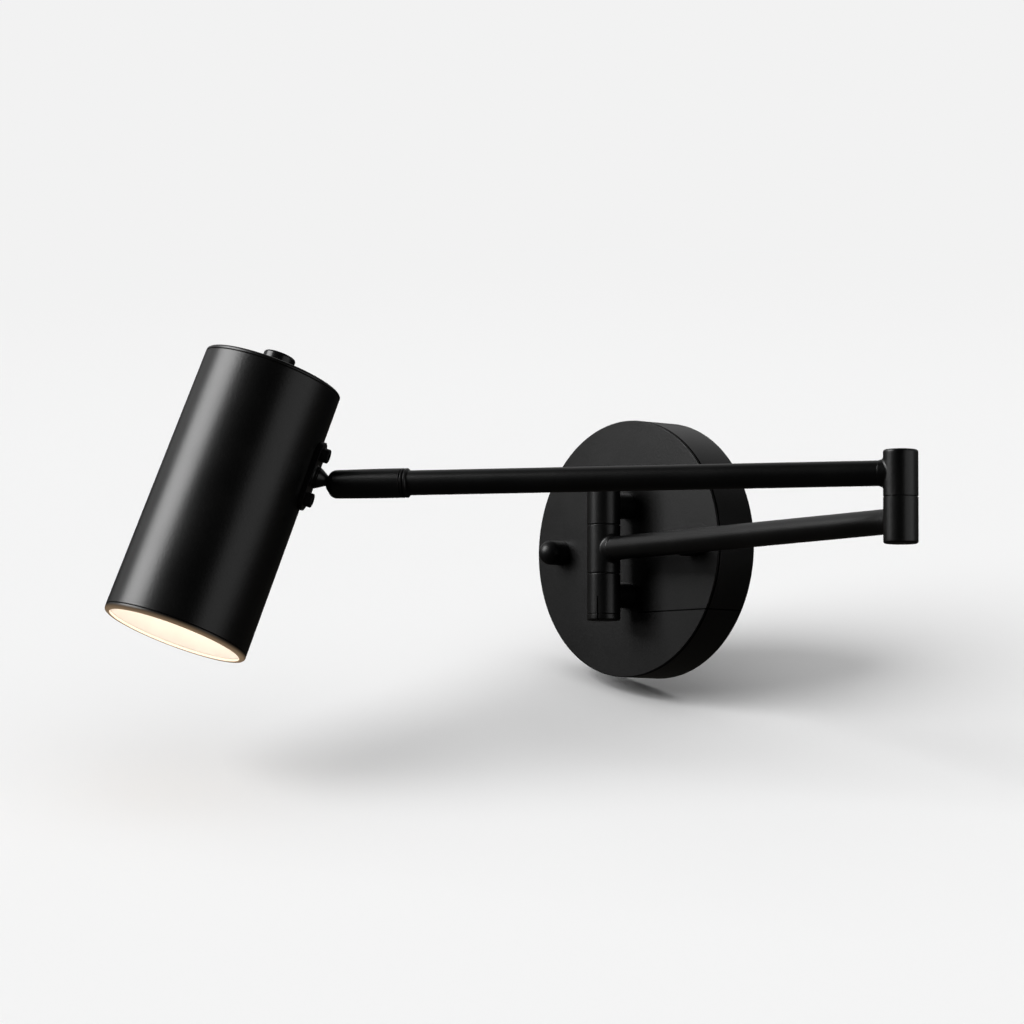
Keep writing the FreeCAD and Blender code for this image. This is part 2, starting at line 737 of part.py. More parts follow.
# ---------------------------------------------------------------- arms
def build_knuckle(label, diameter, height, bore, placement, room=None, yaw="0", roll="0"):
    """Cast knuckle about local Z, centred on the arm, with a socket for the arm's tube.

    room is the depth of the counterbore in its top end; roll turns it over.
    """
    radius = f"{diameter} / 2"
    blank = turned(f"{label}_blank", [
        ("0", "0"),
        (f"{radius} - knuckle_chamfer", "0"),
        (radius, "knuckle_chamfer"),
        (radius, f"{height} - knuckle_chamfer"),
        (f"{radius} - knuckle_chamfer", height),
        ("0", height),
    ])
    put(blank, place(z=f"-{height} / 2"))
    collar = pipe_along(f"{label}_collar", "collar_od", "0", f"{radius} + collar_length", yaw)
    tools = [
        cylinder(f"{label}_bore", bore, height, place(z=f"-{height} / 2")),
        pipe_along(f"{label}_socket", "arm_od", "socket_start", f"{radius} + collar_length", yaw),
        pipe_along(f"{label}_lead", "lead_passage_od", "0", f"{radius} + collar_length", yaw),
    ]
    if room:
        tools.append(cylinder(f"{label}_room", COUNTERBORE_OD, room, place(z=f"{height} / 2 - {room}")))
    body = cut(label, fuse(f"{label}_casting", [blank, collar]), tools)
    node(body, label, f"{placement} * {place(roll=roll)}")


def build_tube(label, frame, end):
    """Arm tube from its root knuckle's socket to end, with its lead on the bore's floor."""
    tube = ring(f"{label}_pipe", "(arm_od - 2 * arm_wall)", "arm_od", f"({end}) - socket_start")
    node(tube, f"{label}_tube", place(x="socket_start", pitch="90", frame=frame))
    floor = "(arm_od / 2 - arm_wall - lead_od / 2 - seat_clearance)"
    lead = cylinder(f"{label}_cable", "lead_od", f"({end}) - socket_start")
    node(lead, f"{label}_lead", place(x="socket_start", z=f"-{floor}", pitch="90", frame=frame))


def build_lower_arm():
    """Lower arm from the wall pivot to the elbow's lower knuckle."""
    running = "(pivot_od + 2 * running_clearance)"
    build_knuckle("root_knuckle", "barrel_od", "root_knuckle_height", running, place(frame=LOWER))
    build_tube("lower_arm", LOWER, "lower_arm_length - socket_start")
    build_knuckle(
        "elbow_lower_knuckle", "elbow_od", "elbow_knuckle_height", "pivot_od", place(frame=ELBOW),
        room=FLANGE_ROOM, yaw="180", roll="180",
    )


def build_elbow():
    """Elbow's hollow pin, ring nut, washer and plugs."""
    half = "elbow_knuckle_height / 2"
    nut_seat = f"({KNUCKLE_PITCH} + {half} - {RING_NUT_ROOM})"
    flange_low = f"({half} - plug_height - free_clearance)"
    pin_top = f"{nut_seat} + ring_nut_height + {flange_low}"
    outline = [
        ("pivot_bore / 2", "0"),
        ("ring_nut_od / 2", "0"),
        ("ring_nut_od / 2", "pivot_flange_height"),
        ("pivot_od / 2", "pivot_flange_height"),
        ("pivot_od / 2", pin_top),
        ("pivot_bore / 2", pin_top),
    ]
    node(turned("elbow_pin", outline), "elbow_pivot", place(z=f"-{flange_low}", frame=ELBOW))
    washer = ring("elbow_disc", WASHER_BORE, "(elbow_od - 2 * washer_inset)", "knuckle_gap")
    node(washer, "elbow_washer", place(z=half, frame=ELBOW))
    nut = ring("elbow_ring_nut", "pivot_od", "ring_nut_od", "ring_nut_height")
    node(nut, "elbow_nut", place(z=nut_seat, frame=ELBOW))
    plug = f"({COUNTERBORE_OD} - 2 * seat_clearance)"
    bottom = cylinder("bottom_plug", plug, "plug_height")
    node(bottom, "elbow_bottom_cap", place(z=f"-{half}", frame=ELBOW))
    top = cylinder("top_plug", plug, "plug_height")
    node(top, "elbow_top_cap", place(z=f"{half} - plug_height", frame=UPPER))


def build_upper_arm():
    """Upper arm from the elbow's upper knuckle to its tube's end in the sleeve."""
    running = "(pivot_od + 2 * running_clearance)"
    build_knuckle(
        "elbow_upper_knuckle", "elbow_od", "elbow_knuckle_height", running, place(frame=UPPER),
        room=RING_NUT_ROOM,
    )
    build_tube("upper_arm", UPPER, "ball_distance - tube_end_behind_ball")


# ---------------------------------------------------------------- ball joint
def build_sleeve():
    """Bullet-shaped sleeve that holds the ball, with the ring behind it."""
    back = f"(sleeve_length - {NOSE_TIP})"
    outline = [
        ("arm_od / 2", f"-{back}"),
        ("sleeve_od / 2 - seam_chamfer", f"-{back}"),
        ("sleeve_od / 2", f"-{back} + seam_chamfer"),
        ("nose_od / 2", "0"),
        Arc((NOSE_CENTRE_R, "0"), ("ball_mouth_od / 2", NOSE_TIP)),
        ("ball_mouth_od / 2", MOUTH_PLANE),
        Arc(("0", "0"), (CAVITY_R, "0")),
        (CAVITY_R, "-tube_end_behind_ball"),
        ("arm_od / 2", "-tube_end_behind_ball"),
    ]
    node(turned("bullet", outline), "joint_sleeve", place(pitch="90", frame=BALL))

    length, groove = "sleeve_ring_length", "sleeve_ring_groove"
    outer, middle = "sleeve_od / 2", "sleeve_ring_length / 2"
    collar = turned("collar_ring", [
        ("arm_od / 2", "0"),
        (f"{outer} - {groove}", "0"),
        (outer, groove),
        (outer, f"{middle} - {groove}"),
        (f"{outer} - {groove}", middle),
        (outer, f"{middle} + {groove}"),
        (outer, f"{length} - {groove}"),
        (f"{outer} - {groove}", length),
        ("arm_od / 2", length),
    ])
    node(collar, "sleeve_ring", place(x=f"-({back} + {length})", pitch="90", frame=BALL))


def build_ball_seat():
    """Nylon cup behind the ball, and the coil spring that presses it."""
    cup = turned("cup", [
        ("stud_bore / 2", "-seat_back"),
        (f"{CAVITY_R} - seat_clearance", "-seat_back"),
        (f"{CAVITY_R} - seat_clearance", "-seat_front"),
        (f"sqrt({CAVITY_R} ^ 2 - seat_front ^ 2)", "-seat_front"),
        Arc(("0", "0"), ("stud_bore / 2", f"-sqrt({CAVITY_R} ^ 2 - (stud_bore / 2) ^ 2)")),
    ])
    node(cup, "ball_seat", place(pitch="90", frame=BALL))

    coil_r = f"({CAVITY_R} - seat_clearance - spring_wire_od / 2)"
    rise = "(tube_end_behind_ball - seat_back - spring_wire_od - 2 * seat_clearance)"
    helix = doc.addObject("Part::Helix", "spring_line")
    helix.setExpression("Radius", expr(coil_r))
    helix.setExpression("Height", expr(rise))
    helix.setExpression("Pitch", expr(f"{rise} / spring_turns"))
    wire = doc.addObject("Part::Circle", "spring_section")
    wire.setExpression("Radius", expr("spring_wire_od / 2"))
    put(wire, place(x=coil_r, roll="90"))
    coil = doc.addObject("Part::Sweep", "spring_coil")
    coil.Sections = [wire]
    coil.Spine = (helix, ["Edge1"])
    coil.Solid = True
    coil.Frenet = True
    start = "-(tube_end_behind_ball - spring_wire_od / 2 - seat_clearance)"
    node(coil, "seat_spring", place(x=start, pitch="90", frame=BALL))


def build_ball_stud():
    """Ball, neck and cone in one piece, with the nut that holds its spigot in the head."""
    tail = f"({NUT_FLOOR} + spigot_nut_height + seat_clearance)"
    bore = "stud_bore / 2"
    outline = [
        (bore, f"-sqrt((ball_od / 2) ^ 2 - ({bore}) ^ 2)"),
        Arc(("0", "0"), ("ball_od / 2", "0")),
        Arc(("0", "0"), ("neck_od / 2", "sqrt((ball_od / 2) ^ 2 - (neck_od / 2) ^ 2)")),
        ("neck_od / 2", "neck_end"),
        ("cone_od / 2", f"{STUD_FACE} - stud_flange_height"),
        ("cone_od / 2", STUD_FACE),
        ("spigot_od / 2", STUD_FACE),
        ("spigot_od / 2", tail),
        (bore, tail),
    ]
    node(turned("stud_body", outline), "ball_stud", place(pitch="90", frame=HEAD))
    nut = ring("spigot_nut", "spigot_od", "spigot_nut_od", "spigot_nut_height")
    node(nut, "stud_nut", place(x=NUT_FLOOR, pitch="90", frame=HEAD))


# ---------------------------------------------------------------- head
def build_bracket():
    """Plate on the head's side with its boss, screws and nuts."""
    screw_x = "bracket_screw_spacing / 2"
    screw_holes = [(screw_x, "0", "bracket_screw_od"), (f"-{screw_x}", "0", "bracket_screw_od")]
    flat = pressed("flat", [slot("bracket_length", "bracket_width")], screw_holes, "bracket_thickness")
    top = "bracket_thickness + bracket_boss_height"
    step = "(bracket_boss_base_od - bracket_boss_od) / 2"
    step_top = f"bracket_thickness + {step}"
    boss = turned("bracket_boss", [
        ("0", "0"),
        ("bracket_boss_base_od / 2", "0"),
        ("bracket_boss_base_od / 2", "bracket_thickness"),
        Arc(("bracket_boss_base_od / 2", step_top), ("bracket_boss_od / 2", step_top)),
        ("bracket_boss_od / 2", top),
        ("0", top),
    ])
    bore = cylinder("bracket_bore", "(spigot_od + 2 * seat_clearance)", top)
    plate = cut("bracket", fuse("bracket_blank", [flat, boss]), [bore])
    node(plate, "bracket_plate", place(x="bracket_reach", pitch="-90", frame=HEAD))

    shank = f"(bracket_thickness + {NUT_DEPTH} + bracket_nut_height + seat_clearance)"
    chamfer = "bracket_screw_head_chamfer"

    def screw(name, side):
        head = "bracket_screw_head_height"
        solid = turned(f"{name}_solid", [
            ("0", f"-{shank}"),
            ("bracket_screw_od / 2", f"-{shank}"),
            ("bracket_screw_od / 2", "0"),
            ("bracket_screw_head_od / 2", "0"),
            ("bracket_screw_head_od / 2", f"{head} - {chamfer}"),
            (f"bracket_screw_head_od / 2 - {chamfer}", head),
            ("0", head),
        ])
        depth = "bracket_screw_socket_depth"
        key = hexagon(f"{name}_key", "bracket_screw_socket", depth, place(z=f"{head} - {depth}"))
        return put(cut(name, solid, [key]), place(x=f"{side} * {screw_x}", z="bracket_thickness"))

    on_head = place(x="bracket_reach", pitch="-90", frame=HEAD)
    node(both_sides("plate_screws", screw), "bracket_screws", on_head)

    def nut(name, side):
        blank = hexagon(f"{name}_hex", "bracket_nut_flats", "bracket_nut_height")
        hole = cylinder(f"{name}_hole", "bracket_screw_od", "bracket_nut_height")
        height = f"-({NUT_DEPTH} + bracket_nut_height)"
        return put(cut(name, blank, [hole]), place(x=f"{side} * {screw_x}", z=height))

    node(both_sides("plate_nuts", nut), "bracket_nuts", on_head)


def build_shell():
    """Tapered tube of the head, drilled for the bracket."""
    low, high = "head_bottom_od / 2", "head_top_od / 2"
    tube = turned("shell_tube", [
        (f"{low} - head_wall", "0"),
        (f"{low} - seam_chamfer", "0"),
        (low, "seam_chamfer"),
        (high, "head_length - seam_chamfer"),
        (f"{high} - seam_chamfer", "head_length"),
        (f"{high} - head_wall", "head_length"),
    ])
    level = "head_length - bracket_distance"
    reach = f"head_wall + {TAPER_SIZE} * bracket_length + 2 * drill_overrun"

    def drill(name, size, height):
        at = place(x=f"-{HEAD_AXIS_X} + bracket_reach - drill_overrun", z=height, pitch="90")
        return cylinder(name, size, reach, at)

    holes = [
        drill("spigot_drill", "(spigot_od + 2 * free_clearance)", level),
        drill("screw_drill_high", "bracket_screw_od", f"{level} + bracket_screw_spacing / 2"),
        drill("screw_drill_low", "bracket_screw_od", f"{level} - bracket_screw_spacing / 2"),
    ]
    node(cut("shell", tube, holes), "head_shell", place(z="bezel_height", frame=MOUTH))


def build_lid():
    """Lid with a rounded edge and a rim that fits inside the shell."""
    outer = "head_top_od / 2"
    inside = LID_SPIGOT_R
    edge = "lid_edge_radius"
    outline = [
        ("bushing_od / 2", "0"),
        (f"{inside} - rim_spigot_wall", "0"),
        (f"{inside} - rim_spigot_wall", "-rim_spigot_height"),
        (inside, "-rim_spigot_height"),
        (inside, "0"),
        (f"{outer} - seam_chamfer", "0"),
        (outer, "seam_chamfer"),
        (outer, f"lid_height - {edge}"),
        Arc((f"{outer} - {edge}", f"lid_height - {edge}"), (f"{outer} - {edge}", "lid_height")),
        ("bushing_od / 2", "lid_height"),
    ]
    node(turned("lid", outline), "head_lid", place(z="-lid_height", frame=LID))


def build_bezel():
    """Front ring of the head: rounded outer edge, thin lip round the mouth, rim inside the shell."""
    outer = "head_bottom_od / 2"
    inside = BEZEL_SPIGOT_R
    edge = "bezel_edge_radius"
    top = "bezel_height + rim_spigot_height"
    outline = [
        ("mouth_od / 2", "0"),
        (f"{outer} - {edge}", "0"),
        Arc((f"{outer} - {edge}", edge), (outer, edge)),
        (outer, "bezel_height - seam_chamfer"),
        (f"{outer} - seam_chamfer", "bezel_height"),
        (inside, "bezel_height"),
        (inside, top),
        (f"{inside} - rim_spigot_wall", top),
        (f"{inside} - rim_spigot_wall", "bezel_lip_height"),
        ("mouth_od / 2", "bezel_lip_height"),
    ]
    node(turned("bezel", outline), "head_bezel", place(frame=MOUTH))


def build_optics():
    """White ring behind the lip, frosted disc and reflector."""
    outer = FRONT_RING_R
    inner = f"{outer} - front_ring_wall"
    ring_outline = [
        (inner, "0"),
        (outer, "0"),
        (outer, "front_ring_depth"),
        (f"{inner} - front_ring_taper", "front_ring_depth"),
    ]
    node(turned("white_ring", ring_outline), "front_ring", place(z="bezel_lip_height", frame=MOUTH))
    disc = cylinder("frosted_disc", f"2 * {outer}", "diffuser_thickness")
    node(disc, "diffuser", place(z="bezel_lip_height + front_ring_depth", frame=MOUTH))
    neck = "reflector_neck_od / 2"
    cone = turned("reflector_cone", [
        (f"{outer} - 2 * reflector_wall", "0"),
        (outer, "0"),
        (outer, "reflector_wall"),
        (f"{neck} + reflector_wall", "reflector_height"),
        (neck, "reflector_height"),
        (f"{outer} - 2 * reflector_wall", "reflector_wall"),
    ])
    node(cone, "reflector", place(z=DIFFUSER_BACK, frame=MOUTH))


def build_led():
    """Light source on its board, its screws and the finned heat sink."""
    board = cylinder("board_plate", "led_board_od", "led_board_thickness")
    chip = cylinder("chip", "led_chip_od", "led_chip_height", place(z="-led_chip_height"))
    screw_x = "led_screw_spacing / 2"
    holes = [
        cylinder(f"board_hole_{number}", "led_screw_od", "led_board_thickness", place(x=x))
        for number, x in enumerate((screw_x, f"-{screw_x}"))
    ]
    board_at = place(z=LED_LEVEL, frame=MOUTH)
    node(cut("led_plate", fuse("led_blank", [board, chip]), holes), "led_board", board_at)

    def led_screw(name, side):
        shank = "led_screw_length"
        outline = [
            ("0", "-led_screw_head_height"),
            ("led_screw_head_od / 2", "-led_screw_head_height"),
            ("led_screw_head_od / 2", "0"),
            ("led_screw_od / 2", "0"),
            ("led_screw_od / 2", shank),
            ("0", shank),
        ]
        return put(turned(name, outline), place(x=f"{side} * {screw_x}"))

    node(both_sides("board_screws", led_screw), "led_screws", board_at)

    ends = (HEAT_SINK_LEVEL, f"({HEAT_SINK_LEVEL} + {HEAT_SINK_HEIGHT})")
    narrowing = f"max({'; '.join(f'{HEAD_TAPER} * {end}' for end in ends)})"
    radius = f"({BOTTOM_INSIDE_R} - {narrowing} - heat_sink_gap)"
    blank = cylinder("sink_blank", f"2 * {radius}", HEAT_SINK_HEIGHT)
    depth = f"{HEAT_SINK_HEIGHT} - heat_sink_base"
    tools = []
    for number in range(HEAT_SINK_SLOTS):
        across = f"{number - (HEAT_SINK_SLOTS - 1) / 2} * heat_sink_pitch - heat_sink_slot / 2"
        at = place(x=f"-{radius}", y=across, z="heat_sink_base")
        tools.append(box(f"sink_slot_{number}", f"2 * {radius}", "heat_sink_slot", depth, at))
    tools += [
        cylinder(f"sink_hole_{number}", "led_screw_od", "led_screw_length", place(x=x))
        for number, x in enumerate((screw_x, f"-{screw_x}"))
    ]
    node(cut("sink", blank, tools), "heat_sink", place(z=HEAT_SINK_LEVEL, frame=MOUTH))


# ---------------------------------------------------------------- switch and button
def build_switch():
    """Switch under the lid, with its threaded bushing through the lid and ring nut on it."""
    drop = "(lid_height + switch_height)"
    body = box(
        "switch_case", "switch_width", "switch_width", "switch_height",
        place(x="-switch_width / 2", y="-switch_width / 2", z=f"-{drop}"),
    )
    bushing = cylinder("bushing", "bushing_od", "lid_height + bushing_height", place(z="-lid_height"))
    well_at = place(z="bushing_height - switch_stem_room")
    well = cylinder("stem_well", "(button_stem_od + 2 * running_clearance)", "switch_stem_room", well_at)
    switch = cut("switch", fuse("switch_blank", [body, bushing]), [well])
    node(switch, "switch_body", place(frame=LID))
    nut = ring("lid_nut", "bushing_od", "switch_nut_od", "switch_nut_height")
    node(nut, "switch_nut", place(frame=LID))


def build_button():
    """Hollow domed button on its stem."""
    outer, edge = "button_od / 2", "button_edge_radius"
    inner = f"{outer} - button_wall"
    ceiling = "button_top - 2 * button_wall"
    stem_low = "(bushing_height - switch_stem_room + button_gap)"
    outline = [
        ("0", stem_low),
        ("button_stem_od / 2", stem_low),
        ("button_stem_od / 2", ceiling),
        (inner, ceiling),
        (inner, "button_gap"),
        (outer, "button_gap"),
        (outer, f"button_top - {edge}"),
        Arc((f"{outer} - {edge}", f"button_top - {edge}"), (f"{outer} - {edge}", "button_top")),
        ("0", "button_top"),
    ]
    node(turned("knob", outline), "push_button", place(frame=LID))


# ---------------------------------------------------------------- checks and files
def check_all():
    """Stop on any failed feature or any node without a sound solid."""
    failed = [item.Name for item in doc.Objects if {"Invalid", "Error"} & set(item.State)]
    if failed:
        raise RuntimeError(f"failed features: {failed}")
    for item in NODES:
        shape = item.Shape
        if shape.isNull() or not shape.isValid() or not shape.Solids or shape.Volume <= 0:
            raise RuntimeError(f"no sound solid: {item.Label}")


def write_nodes():
    """One STEP file for each node."""
    os.makedirs("parts", exist_ok=True)
    for item in NODES:
        item.Shape.exportStep(f"parts/{item.Label}.step")
        print(f"{item.Label}: {len(item.Shape.Solids)} solid(s), {item.Shape.Volume:.1f} mm3")


build_strap()
build_canopy()
build_electrics()
build_fixed_knuckle("upper_pivot_bracket", "0")
build_fixed_knuckle("lower_pivot_bracket", "180")
build_post_fastening()
build_wall_pivot()
build_lower_arm()
build_elbow()
build_upper_arm()
build_sleeve()
build_ball_seat()
build_ball_stud()
build_bracket()
build_shell()
build_lid()
build_bezel()
build_optics()
build_led()
build_switch()
build_button()
doc.recompute()
check_all()
write_nodes()
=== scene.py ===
"""Pivoting spotlight wall light: its dressed pieces, its finishes and the studio round it.

Lengths in the classes are millimetres and angles are degrees; meshes leave here in metres. The studio's own lengths
are in metres.
"""

import logging
import math
from collections.abc import Callable, Sequence
from dataclasses import dataclass, field, replace
from enum import Enum
from typing import Any

import bmesh
import bpy
from mathutils import Euler, Matrix, Vector


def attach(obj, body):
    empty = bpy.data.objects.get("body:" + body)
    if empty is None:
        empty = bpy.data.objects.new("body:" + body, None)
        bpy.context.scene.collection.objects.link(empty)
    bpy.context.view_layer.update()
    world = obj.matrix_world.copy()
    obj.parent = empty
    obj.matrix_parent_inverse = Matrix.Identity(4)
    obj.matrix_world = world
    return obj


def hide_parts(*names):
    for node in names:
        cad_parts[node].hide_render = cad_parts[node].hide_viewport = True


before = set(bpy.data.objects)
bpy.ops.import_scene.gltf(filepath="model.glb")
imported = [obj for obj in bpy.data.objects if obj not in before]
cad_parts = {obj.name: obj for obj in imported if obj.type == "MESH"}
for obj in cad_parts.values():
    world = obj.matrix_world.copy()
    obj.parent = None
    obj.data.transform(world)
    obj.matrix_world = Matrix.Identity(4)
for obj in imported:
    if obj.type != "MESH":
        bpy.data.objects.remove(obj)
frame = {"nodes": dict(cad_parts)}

LOG = logging.getLogger("wall_light")
METRE = 0.001
SMOOTH_LIMIT = math.radians(34.0)
ON_AXIS = 1e-6
SOLVE_STEPS = 40
FILLET_ROOM = 0.96
COAT_IOR = 1.55
ENAMEL_IOR = 1.50
PLASTIC_IOR = 1.49


class Body(Enum):
    """Moving bodies of the light."""

    WALL = "wall_base"
    LOWER_ARM = "lower_arm"
    UPPER_ARM = "upper_arm"
    SEAT = "seat"
    STUD = "stud"
    HEAD = "head"
    BUTTON = "button"


class Slot(Enum):
    """Finish slots of the record."""

    COAT = "black_powder_coat"
    NUT = "black_gloss_nut"
    BUTTON = "black_button"
    ZINC = "zinc_steel"
    SCREW = "black_screw"
    BRASS = "brass"
    DRIVER = "driver_case"
    TERMINAL = "terminal_plastic"
    WASHER = "washer_plastic"
    CABLE = "cable_jacket"
    NYLON = "nylon"
    SPRING = "spring_steel"
    WHITE = "white_plastic"
    DIFFUSER = "frosted_diffuser"
    REFLECTOR = "reflector_metal"
    BOARD = "board_white"
    SINK = "sink_aluminium"
    SWITCH = "switch_plastic"


# ---------------------------------------------------------------- shader maths
class Number:
    """A number in a shader tree; arithmetic on it adds Math nodes."""

    def __init__(self, shader: "Shader", socket: bpy.types.NodeSocket) -> None:
        """Wrap a socket."""
        self.shader = shader
        self.socket = socket

    def maths(self, operation: str, *terms: Any) -> "Number":
        """Number from one Math node."""
        return self.shader.number("ShaderNodeMath", {"operation": operation}, dict(enumerate(terms)))

    def __add__(self, other: Any) -> "Number":
        """Sum."""
        return self.maths("ADD", self, other)

    def __radd__(self, other: Any) -> "Number":
        """Sum with a plain number first."""
        return self.maths("ADD", other, self)

    def __sub__(self, other: Any) -> "Number":
        """Difference."""
        return self.maths("SUBTRACT", self, other)

    def __rsub__(self, other: Any) -> "Number":
        """Difference from a plain number."""
        return self.maths("SUBTRACT", other, self)

    def __mul__(self, other: Any) -> "Number":
        """Product."""
        return self.maths("MULTIPLY", self, other)

    def __rmul__(self, other: Any) -> "Number":
        """Product with a plain number first."""
        return self.maths("MULTIPLY", other, self)

    def __truediv__(self, other: Any) -> "Number":
        """Quotient."""
        return self.maths("DIVIDE", self, other)

    def __rtruediv__(self, other: Any) -> "Number":
        """Quotient of a plain number."""
        return self.maths("DIVIDE", other, self)

    def __lt__(self, other: Any) -> "Number":
        """1 where this is less than the other, else 0."""
        return self.maths("LESS_THAN", self, other)

    def __gt__(self, other: Any) -> "Number":
        """1 where this is more than the other, else 0."""
        return self.maths("GREATER_THAN", self, other)

    def size(self) -> "Number":
        """Absolute value."""
        return self.maths("ABSOLUTE", self)

    def band(self, low: float, high: float) -> "Number":
        """Smooth step from 0 at low to 1 at high."""
        settings = {"interpolation_type": "SMOOTHSTEP"}
        return self.shader.number("ShaderNodeMapRange", settings, {0: self, 1: low, 2: high, 3: 0.0, 4: 1.0})


class Tree:
    """A node tree being laid out."""

    def __init__(self, tree: bpy.types.NodeTree) -> None:
        """Start from an empty tree."""
        self.tree = tree
        self.tree.nodes.clear()

    def node(self, kind: str, settings: dict[str, Any], sockets: dict[Any, Any]) -> bpy.types.Node:
        """Add any node.

        Args:
            kind: the node's type.
            settings: the node's own settings.
            sockets: a value, socket or Number for each input, by name or index.

        Returns:
            The node.
        """
        made = self.tree.nodes.new(kind)
        for name, setting in settings.items():
            setattr(made, name, setting)
        for key, entry in sockets.items():
            source = entry.socket if isinstance(entry, Number) else entry
            if isinstance(source, bpy.types.NodeSocket):
                self.tree.links.new(source, made.inputs[key])
            else:
                made.inputs[key].default_value = source
        return made


class Shader(Tree):
    """One material's or world's node tree."""

    def number(self, kind: str, settings: dict[str, Any], sockets: dict[Any, Any], output: Any = 0) -> Number:
        """Add a node and take one output as a Number."""
        return Number(self, self.node(kind, settings, sockets).outputs[output])

    def place(self, at: Vector | None = None, turn: Euler | None = None) -> bpy.types.NodeSocket:
        """Object coordinates, in a frame of the piece where one is given.

        Args:
            at: the frame's origin in metres.
            turn: the frame's turn.

        Returns:
            The coordinates' socket.
        """
        coordinates = self.node("ShaderNodeTexCoord", {}, {}).outputs["Object"]
        if at is None:
            return coordinates
        sockets = {0: coordinates, "Location": at, "Rotation": turn or Euler()}
        return self.node("ShaderNodeMapping", {"vector_type": "TEXTURE"}, sockets).outputs[0]

    def axes(self, coordinates: bpy.types.NodeSocket) -> list[Number]:
        """The three numbers of a vector."""
        parts = self.node("ShaderNodeSeparateXYZ", {}, {0: coordinates})
        return [Number(self, output) for output in parts.outputs]

    def about(self, axis: Matrix) -> tuple[bpy.types.NodeSocket, Number, Number]:
        """Coordinates in a frame of the piece, and what they say about its axis.

        Args:
            axis: the frame, in millimetres.

        Returns:
            The coordinates, the distance from the frame's Z axis and the height along it.
        """
        local = self.place(axis.to_translation() * METRE, axis.to_euler())
        east, north, rise = self.axes(local)
        square = east * east + north * north
        return local, square.maths("SQRT", square), rise

    def noise(self, coordinates: bpy.types.NodeSocket, grain: float, detail: float = 2.0) -> Number:
        """Noise whose features are about grain millimetres wide."""
        sockets = {"Vector": coordinates, "Scale": 1.0 / (grain * METRE), "Detail": detail}
        return self.number("ShaderNodeTexNoise", {}, sockets, "Fac")

    def mix(self, factor: Any, first: Any, second: Any) -> bpy.types.NodeSocket:
        """Blend of two colours."""
        sockets = {0: factor, 6: first, 7: second}
        return self.node("ShaderNodeMix", {"data_type": "RGBA"}, sockets).outputs[2]

    def bump(self, height: Number, depth: float, strength: float = 1.0) -> bpy.types.NodeSocket:
        """Relief."""
        sockets = {"Height": height, "Distance": depth * METRE, "Strength": strength}
        return self.node("ShaderNodeBump", {}, sockets).outputs[0]

    def surface(self, sockets: dict[str, Any], painted_groove_shade: Number | None = None) -> None:
        """End the tree in a Principled shader.

        Args:
            sockets: what its inputs get, by name.
            painted_groove_shade: where a painted dark line stands for the shade in a hairline groove that has no
                relief, from 0 to 1.
        """
        shader = self.node("ShaderNodeBsdfPrincipled", {}, sockets)
        if painted_groove_shade:
            # painted shade: near-black diffuse mixed in where a hairline groove would hold shade
            black = self.node("ShaderNodeBsdfDiffuse", {}, {"Color": (0.001, 0.001, 0.001, 1.0)})
            shader = self.node("ShaderNodeMixShader", {}, {0: painted_groove_shade, 1: shader.outputs[0], 2: black.outputs[0]})
        self.node("ShaderNodeOutputMaterial", {}, {0: shader.outputs[0]})


def shade(name: str) -> tuple[bpy.types.Material, Shader]:
    """New material with an empty tree.

    Args:
        name: the material's name.

    Returns:
        The material and its shader tree.
    """
    material = bpy.data.materials.new(name)
    material.use_nodes = True
    return material, Shader(material.node_tree)


def tint(value: tuple[float, float, float], factor: float = 1.0) -> tuple[float, float, float, float]:
    """Colour with full alpha."""
    return (*(channel * factor for channel in value), 1.0)


# ---------------------------------------------------------------- finishes
@dataclass(frozen=True)
class Finish:
    """A finish that makes its material once."""

    name: str

    def material(self) -> bpy.types.Material:
        """The finish's material, made on first use.

        Returns:
            The material that bears the finish's name.
        """
        found = bpy.data.materials.get(self.name)
        if not found:
            found, shader = shade(self.name)
            self.lay(shader)
        return found

    def lay(self, shader: Shader) -> None:
        """Lay out the material's nodes."""
        raise NotImplementedError


@dataclass(frozen=True)
class Scribe:
    """A hairline groove in a coat, drawn only as a painted dark line of shade with no relief, in the light's own frame:
    level, or upright down the front.
    """

    place: float
    start: float
    width: float = 0.50
    upright: bool = False
    front: float = 0.0


